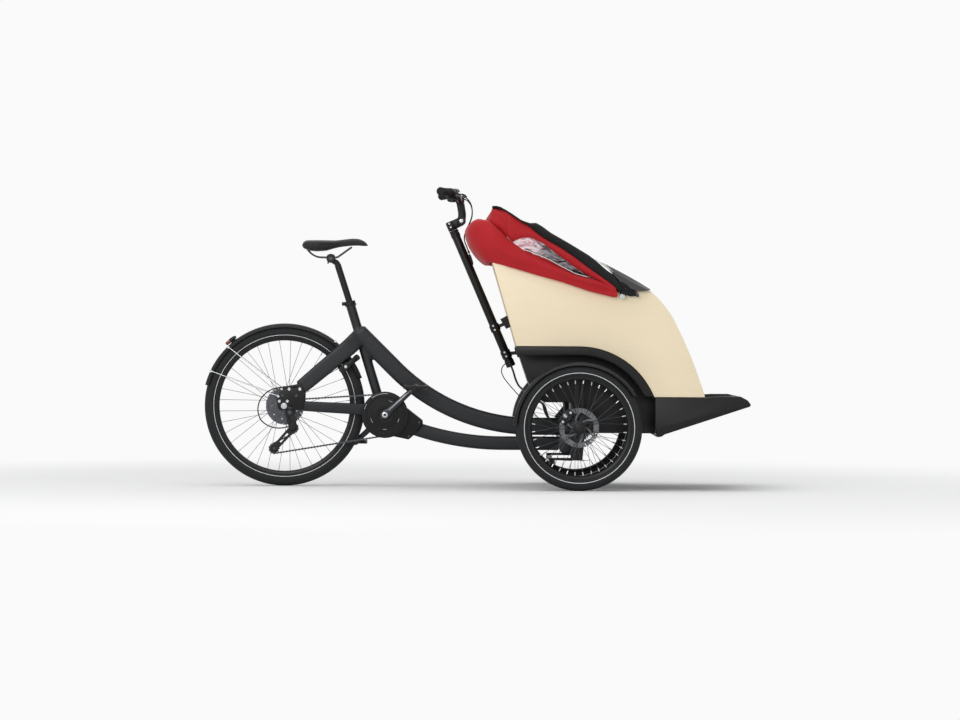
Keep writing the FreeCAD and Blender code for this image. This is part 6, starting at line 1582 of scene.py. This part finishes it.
filmX = np.linspace(0.128, 0.53, 96)[:, None]
filmShare = np.linspace(0, 1, 30)[None, :]
filmLow, filmHigh = lineAt("lowerTop", filmX) - 0.014, lineAt("upperBottom", filmX) + 0.012
filmZ = filmLow + (filmHigh - filmLow) * filmShare
creases = (0.0042 * folded(9.0 * filmX + 6.0 * filmZ + 0.2) + 0.0034 * folded(17.0 * filmX - 21.0 *
    filmZ) + 0.0022 * folded(31.0 * filmX + 44.0 * filmZ + 0.6) + 0.0012 * folded(70.0 * filmX - 52.0 *
    filmZ + 0.4))
bulge = 0.01 * np.exp(-((filmX - 0.222) / 0.045) ** 2) * np.sin(np.pi * filmShare)
ends = np.clip(np.minimum(filmX - 0.128, 0.53 - filmX) / 0.02, 0, 1)
filmY = 0.4085 + (creases * np.sin(np.pi * filmShare) ** 0.5 + bulge) * ends
for side, sign in (("left", 1), ("right", -1)):
    grid = np.stack([np.broadcast_to(filmX, filmZ.shape), filmY * sign, filmZ], -1)
    sheetPiece("hood_window_" + side, grid, "hood_film",
        (), 0.0006, 18, finish=crumpledFilm)
bindings, darkLines = [], []
for sign in (1, -1):
    boundX = np.linspace(0.205, 0.45, 40)
    boundZ = lineAt("lowerTop", boundX)
    lie = sign * (0.4225 + 0.004 * np.sin(np.pi * np.linspace(0, 1, 40)))
    bindings.append(wireShape(np.stack([boundX, lie, boundZ + 0.0015], -1), 0.0016, 8, (0, 1, 0)))
    darkLines.append(wireShape(np.stack([boundX - 0.004, lie - sign * 0.002, boundZ + 0.0052], -1),
        0.0019, 8, (0, 1, 0)))
    sliver = eased([(0.491, sign * 0.408, 0.9265), (0.52, sign * 0.413, 0.9085), (0.554, sign * 0.4165,
        0.8815)], 20)
    bindings.append(carried(sliver, oval(0.0012, 0.0034, 10), (0, 1, 0), np.sin(np.linspace(0.25,
        np.pi - 0.25, 20))[:, None]))
newPiece("hood_bindings", together(bindings), "chassis", "hood_cloth", (), 60, finish=pipingWhite)
newPiece("hood_seam_cords", together(darkLines), "chassis", "hood_cloth", (), 60, finish=blackCloth)

# The flap: a smoked film that curves over from the outside of the arm to its top.
flapUpper = eased(mm([(486, 0, 930), (532.5, 0, 910.5), (609.6, 0, 869.5), (664, 0, 838.5), (704.5, 0,
    814.5)]), 44)
flapLower = eased(mm([(545, 0, 887.5), (562, 0, 866), (600, 0, 830), (655, 0, 805.5), (704.5, 0,
    808.5)]), 44)
lean = np.linspace(0, np.pi * 0.62, 20)[None, :]
rise = np.sin(np.minimum(lean, np.pi / 2)) - 0.1 * np.clip(lean - np.pi / 2, 0, 1)
reachIn = 0.4165 - 0.026 * (1 - np.cos(lean)) ** 1.2
for side, sign in (("left", 1), ("right", -1)):
    x = flapLower[:, 0][:, None] + (flapUpper - flapLower)[:, 0][:, None] * rise
    z = flapLower[:, 2][:, None] + (flapUpper - flapLower)[:, 2][:, None] * rise
    wave = 0.0015 * np.sin(22 * x + 3 * lean)
    grid = np.stack([x, sign * (np.broadcast_to(reachIn, x.shape) + wave), z], -1)
    sheetPiece("hood_flap_" + side, grid, "hood_film", ("hood_flaps",) if side == "left" else (), 0.001, 50, finish=smokedFilm)

# Hinges: a pale washer and bolt at the hood's pivot, a small dark bolt before it, and loose black straps
# between them.
hingeSettings = {"pivot": (0.5925, 0.7835), "bolt": (0.653, 0.7875), "washer": 0.0105, "straps": 5}
washers, darkBolts, straps = [], [], []
for sign in (1, -1):
    x, z = hingeSettings["pivot"]
    washers.append(rodShape((x, sign * 0.4005, z), (x, sign * 0.4185, z), 0.007, 24, 0.0006))
    washers.append(rodShape((x, sign * 0.4185, z), (x, sign * 0.4205, z),
        hingeSettings["washer"], 32, 0.0007))
    washers.append(boltShape((x, sign * 0.4205, z), 0.0052, 0.0032, sign, 18))
    x, z = hingeSettings["bolt"]
    darkBolts.append(rodShape((x, sign * 0.4005, z), (x, sign * 0.417, z), 0.0058, 20, 0.0008))
    darkBolts.append(boltShape((x, sign * 0.417, z), 0.0066, 0.0035, sign, 18))
    darkBolts.append(rodShape((x - 0.014, sign * 0.412, z + 0.02), (x + 0.001, sign * 0.412, z + 0.001),
        0.0034, 14, 0.0006))
    for number in range(hingeSettings["straps"]):
        wander = np.array([math.sin(2.1 * number + 0.4), math.cos(1.7 * number), math.sin(3.3 * number +
            1.0), math.cos(2.9 * number + 0.7)])
        path = eased([(0.57 + 0.006 * number, sign * 0.409, 0.838 - 0.011 * number + 0.004 * wander[0]),
            (0.594 + 0.004 * wander[1], sign * (0.417 + 0.003 * wander[2]), 0.824 - 0.008 * number +
            0.006 * wander[3]), (0.62 + 0.003 * wander[2], sign * (0.412 + 0.005 * wander[0]),
            0.808 - 0.005 * number + 0.005 * wander[1]), (0.645 + 0.005 * wander[3], sign * 0.41,
            0.796 + 0.005 * wander[0])], 30)
        twist = 0.6 + 0.4 * np.sin(np.linspace(0, 5 + number, 30) + wander[0] * 2)
        straps.append(carried(path, oval(0.0042, 0.0085, 16, 2.6), (0, 1, 0), np.stack([1.2 - 0.5 * twist,
            0.55 + 0.6 * twist], -1)))
newPiece("hood_pivot_washers", together(washers), "chassis", "steel", ("hood_hinges",), 35)
newPiece("hood_pivot_bolts", together(darkBolts), "chassis", "steel", (), 35, finish=darkSteel)
newPiece("hood_straps", together(straps), "chassis", "hood_cloth", (), 50, finish=blackCloth)
print("hood window, flap and hinges made")
# Cushions: blown up a little as cloth, then sewn in with channels and edged with a cord

material, tree, principled, spots = newFinish("cushionCloth", {"Sheen Weight": 0.08,
    "Sheen Roughness": 0.6, "Specular IOR Level": 0.25})
shade = addNode(tree, "ShaderNodeGroup", {"node_tree": toneGroup}, Vector=spots, Colour=linear(58, 60,
    64), Size=8.0, Spread=0.08, Roughness=0.82)
threads = addNode(tree, "ShaderNodeGroup", {"node_tree": weaveGroup}, Vector=spots, Threads=2100.0)
tree.links.new(blended(tree, reckon(tree, "MULTIPLY", threads.outputs["Shade"], 0.3),
    shade.outputs["Colour"], linear(84, 86, 90)), principled.inputs["Base Color"])
tree.links.new(shade.outputs["Roughness"], principled.inputs["Roughness"])
bump = addNode(tree, "ShaderNodeBump", Height=threads.outputs["Height"], Strength=0.4, Distance=0.0006)
tree.links.new(bump.outputs[0], principled.inputs["Normal"])
finishes["cushion_cover"] = material

cushionSettings = {
    "seat": {"node": "seat_cushion", "low": (0.187, -0.376, 0.5935), "high": (0.477, 0.376, 0.65),
        "tilt": 0.0, "about": (0, 0, 0), "rests": "seat_deck_soft"},
    "back": {"node": "back_cushion", "low": (0.1675, -0.374, 0.664), "high": (0.2065, 0.374, 0.902),
        "tilt": 16.0, "about": (0.1675, 0, 0.664), "rests": "box_back_soft"},
}
padSettings = {"voxel": 0.0075, "round": 0.016, "pressure": 4.0, "most": 0.012, "channel": 0.0075,
    "wide": 0.0085, "channels": (-0.19, 0.0, 0.19)}


def meshPoints(mesh):
    spots = np.zeros(len(mesh.vertices) * 3)
    mesh.vertices.foreach_get("co", spots)
    return spots.reshape(-1, 3)


def puffed(name, low, high):
    # a rounded box on an even grid of faces, swollen by cloth pressure with its underside held, no point
    # moving too far
    points, faces = blockShape(low, high, padSettings["round"])
    mesh = bpy.data.meshes.new(name)
    mesh.from_pydata(points.tolist(), [], [face for group in faces for face in group.tolist()])
    held = bpy.data.objects.new(name, mesh)
    bpy.context.scene.collection.objects.link(held)
    melt = held.modifiers.new("melt", "REMESH")
    melt.mode, melt.voxel_size = "VOXEL", padSettings["voxel"]
    settled(held)
    even = held.modifiers.new("even", "SMOOTH")
    even.factor, even.iterations = 0.5, 4
    settled(held)
    before = meshPoints(held.data)
    thin = 2 if high[2] - low[2] < high[0] - low[0] else 0
    pins = held.vertex_groups.new(name="pins")
    pins.add(np.nonzero(before[:, thin] < low[thin] + 0.004)[0].tolist(), 1.0, "REPLACE")
    cloth = held.modifiers.new("cloth", "CLOTH")
    cloth.settings.quality = 4
    cloth.settings.use_pressure = True
    cloth.settings.uniform_pressure_force = padSettings["pressure"]
    cloth.settings.effector_weights.gravity = 0.0
    cloth.settings.vertex_group_mass = "pins"
    cloth.collision_settings.use_collision = False
    cloth.point_cache.frame_start, cloth.point_cache.frame_end = 1, 20
    for number in range(1, 21):
        bpy.context.scene.frame_set(number)
    settled(held)
    bpy.context.scene.frame_set(1)
    after = meshPoints(held.data)
    step = after - before
    far = np.linalg.norm(step, axis=1)[:, None]
    after = before + step * np.minimum(1, padSettings["most"] / np.maximum(far, 1e-6))
    held.data.vertices.foreach_set("co", after.ravel())
    return held


for label, values in cushionSettings.items():
    pad = puffed("cushion_" + label, values["low"], values["high"])
    points = meshPoints(pad.data)
    low, high = np.array(values["low"]), np.array(values["high"])
    thin = 2 if label == "seat" else 0
    face = np.clip((points[:, thin] - low[thin]) / (high[thin] - low[thin]) * 2 - 0.7, 0, 1)
    for across in padSettings["channels"]:
        points[:, thin] -= padSettings["channel"] * face * np.exp(-((points[:, 1] - across) /
            padSettings["wide"]) ** 2)
    lines = (0.285, 0.38) if label == "seat" else (0.742, 0.823)
    for place in lines:
        points[:, thin] -= 0.6 * padSettings["channel"] * face * np.exp(-((points[:, 2 - thin] - place) /
            padSettings["wide"]) ** 2)
    points[:, thin] -= 0.0012 * face * np.sin(points[:, 1] * 61 + points[:, 2 - thin] *
        23) * np.sin(points[:, 2 - thin] * 47)
    angle, about = math.radians(-values["tilt"]), np.array(values["about"])
    turnedBack = points - about
    points = np.stack([turnedBack[:, 0] * math.cos(angle) + turnedBack[:, 2] * math.sin(angle),
        turnedBack[:, 1], -turnedBack[:, 0] * math.sin(angle) + turnedBack[:, 2] *
        math.cos(angle)], -1) + about
    pad.data.vertices.foreach_set("co", points.ravel())
    smooth = pad.modifiers.new("smooth", "SUBSURF")
    smooth.levels = smooth.render_levels = 1
    settled(pad)
    dress(pad, "chassis", "cushion_cover", (values["node"],), 70, False)
    # cord round the face's edge, set on the seam between face and side
    reach = 0.01
    corners = oval((high[1] - low[1]) / 2 - 0.001, (high[2 - thin] - low[2 - thin]) / 2 - 0.001, 120, 14)
    ring = np.zeros((120, 3))
    ring[:, 1] = corners[:, 0]
    ring[:, 2 - thin] = corners[:, 1] + (high[2 - thin] + low[2 - thin]) / 2
    ring[:, thin] = high[thin] - reach
    ring = ring - about
    ring = np.stack([ring[:, 0] * math.cos(angle) + ring[:, 2] * math.sin(angle), ring[:, 1],
        -ring[:, 0] * math.sin(angle) + ring[:, 2] * math.cos(angle)], -1) + about
    closed = np.vstack([ring, ring[:1]])
    newPiece("cushion_%s_cord" % label, wireShape(closed, 0.0022, 8, (0.3, 0.1, 1)), "chassis",
        "cushion_cover")
    print("cushion %s: %d faces" % (label, len(pad.data.polygons)))

# Cables: a satin sheath with a fine lay in it, and ferrules where each enters a lever, port or stop

sheath = coated("cableSheath", (18, 18, 19), 0.38, {"size": 30, "spread": 0.1}, {"size": 1600,
    "pebble": 0.5, "strength": 0.25}, {"Specular IOR Level": 0.35})
for label in ("control_cables", "lever_hoses"):
    held = frame["nodes"][label]
    held.data.materials.clear()
    held.data.materials.append(sheath)
cableEnds = {
    "chassis": [((0.14, 0.008, 0.519), (0.018, 0.0, -0.042), 0.0056), ((0.14, -0.008, 0.519),
        (0.018, 0.0, -0.042), 0.0056)],
    "handlebar_set": [((-0.064, 0.178, 1.191), (0.026, -0.046, -0.003), 0.004), ((-0.064, -0.178, 1.191),
        (0.026, 0.046, -0.003), 0.004), ((-0.026, 0.009, 0.962), (-0.025, 0.003, 0.062), 0.004),
        ((-0.026, -0.009, 0.962), (-0.025, -0.003, 0.062), 0.004)],
}
for body, ends in cableEnds.items():
    ferrules = []
    for spot, direction, radius in ends:
        away = np.array(direction) / np.linalg.norm(direction)
        reaches = np.array([-0.001, 0.0, 0.01, 0.0115, 0.012])
        ferrules.append(carried(np.array(spot) + reaches[:, None] * away, oval(radius, radius, 16),
            (0, 1, 0), [0.8, 1, 1, 0.85, 0.6]))
    newPiece("cable_ferrules_" + body, together(ferrules), body, "black_plastic", (), 50)
print("cable fittings made")

# Stage: a pale floor that runs out to the white round it, and soft light

stage = {"near": 0.9, "far": 2.9, "half": 30.0, "floor": 0.93, "white": 0.955}
floorMesh = bpy.data.meshes.new("floor")
reach = stage["half"]
floorMesh.from_pydata([(-reach, -reach, 0), (reach, -reach, 0), (reach, reach, 0), (-reach, reach, 0)],
    [], [(0, 1, 2, 3)])
floor = bpy.data.objects.new("floor", floorMesh)
bpy.context.scene.collection.objects.link(floor)
floorMaterial = bpy.data.materials.new("floor")
floorMaterial.use_nodes = True
tree = floorMaterial.node_tree
tree.nodes.remove(tree.nodes["Principled BSDF"])
plain = addNode(tree, "ShaderNodeBsdfDiffuse", Color=(stage["floor"],) * 3 + (1,))
glow = addNode(tree, "ShaderNodeEmission", Color=(stage["white"],) * 3 + (1,), Strength=1.0)
place = addNode(tree, "ShaderNodeTexCoord").outputs["Object"]
squeezed = addNode(tree, "ShaderNodeVectorMath", {"operation": "MULTIPLY"}, i0=place, i1=(0.8, 0.62, 0.0))
distance = addNode(tree, "ShaderNodeVectorMath", {"operation": "LENGTH"}, i0=squeezed.outputs[0])
fade = addNode(tree, "ShaderNodeMapRange", {"interpolation_type": "SMOOTHSTEP"},
    i0=distance.outputs["Value"], i1=stage["near"], i2=stage["far"])
rays = addNode(tree, "ShaderNodeLightPath")
seen = reckon(tree, "MAXIMUM", rays.outputs["Is Camera Ray"], reckon(tree, "MAXIMUM",
    rays.outputs["Is Glossy Ray"], rays.outputs["Is Transmission Ray"]))
mix = addNode(tree, "ShaderNodeMixShader", i0=reckon(tree, "MULTIPLY", fade.outputs[0], seen),
    i1=plain.outputs[0], i2=glow.outputs[0])
tree.links.new(mix.outputs[0], tree.nodes["Material Output"].inputs["Surface"])
floorMesh.materials.append(floorMaterial)

world = bpy.data.worlds.new("studio")
bpy.context.scene.world = world
world.use_nodes = True
tree = world.node_tree
background = tree.nodes["Background"]
rays = addNode(tree, "ShaderNodeLightPath")
seen = reckon(tree, "MAXIMUM", rays.outputs["Is Camera Ray"], reckon(tree, "MAXIMUM",
    rays.outputs["Is Glossy Ray"], rays.outputs["Is Transmission Ray"]))
tree.links.new(blended(tree, seen, (0.48, 0.485, 0.495, 1), (stage["white"],) * 3 + (1,)),
    background.inputs["Color"])

lamps = {
    "overhead": {"spot": (0.2, -0.6, 4.6), "size": (5.0, 4.0), "watts": 84.0, "at": (0.1, 0, 0.5)},
    "front": {"spot": (-1.8, -5.2, 2.6), "size": (3.2, 2.6), "watts": 88.0, "at": (0.1, 0, 0.6)},
    "back": {"spot": (1.5, 5.0, 3.2), "size": (4.0, 2.5), "watts": 48.0, "at": (0, 0, 0.7)},
}
for name, values in lamps.items():
    lamp = bpy.data.lights.new(name, "AREA")
    lamp.shape = "RECTANGLE"
    lamp.size, lamp.size_y = values["size"]
    lamp.energy = values["watts"]
    held = bpy.data.objects.new(name, lamp)
    held.location = values["spot"]
    held.rotation_euler = (Vector(values["at"]) - Vector(values["spot"])).to_track_quat("-Z",
        "Y").to_euler()
    bpy.context.scene.collection.objects.link(held)
print("stage and light set")

# Every CAD part that still shows takes its slot's finish.
for row in frame["record"]["subparts"]:
    node = frame["nodes"][row["node"]]
    if not node.hide_render:
        node.data.materials.clear()
        node.data.materials.append(finishes[row["material_slot"]])

bpy.context.view_layer.update()
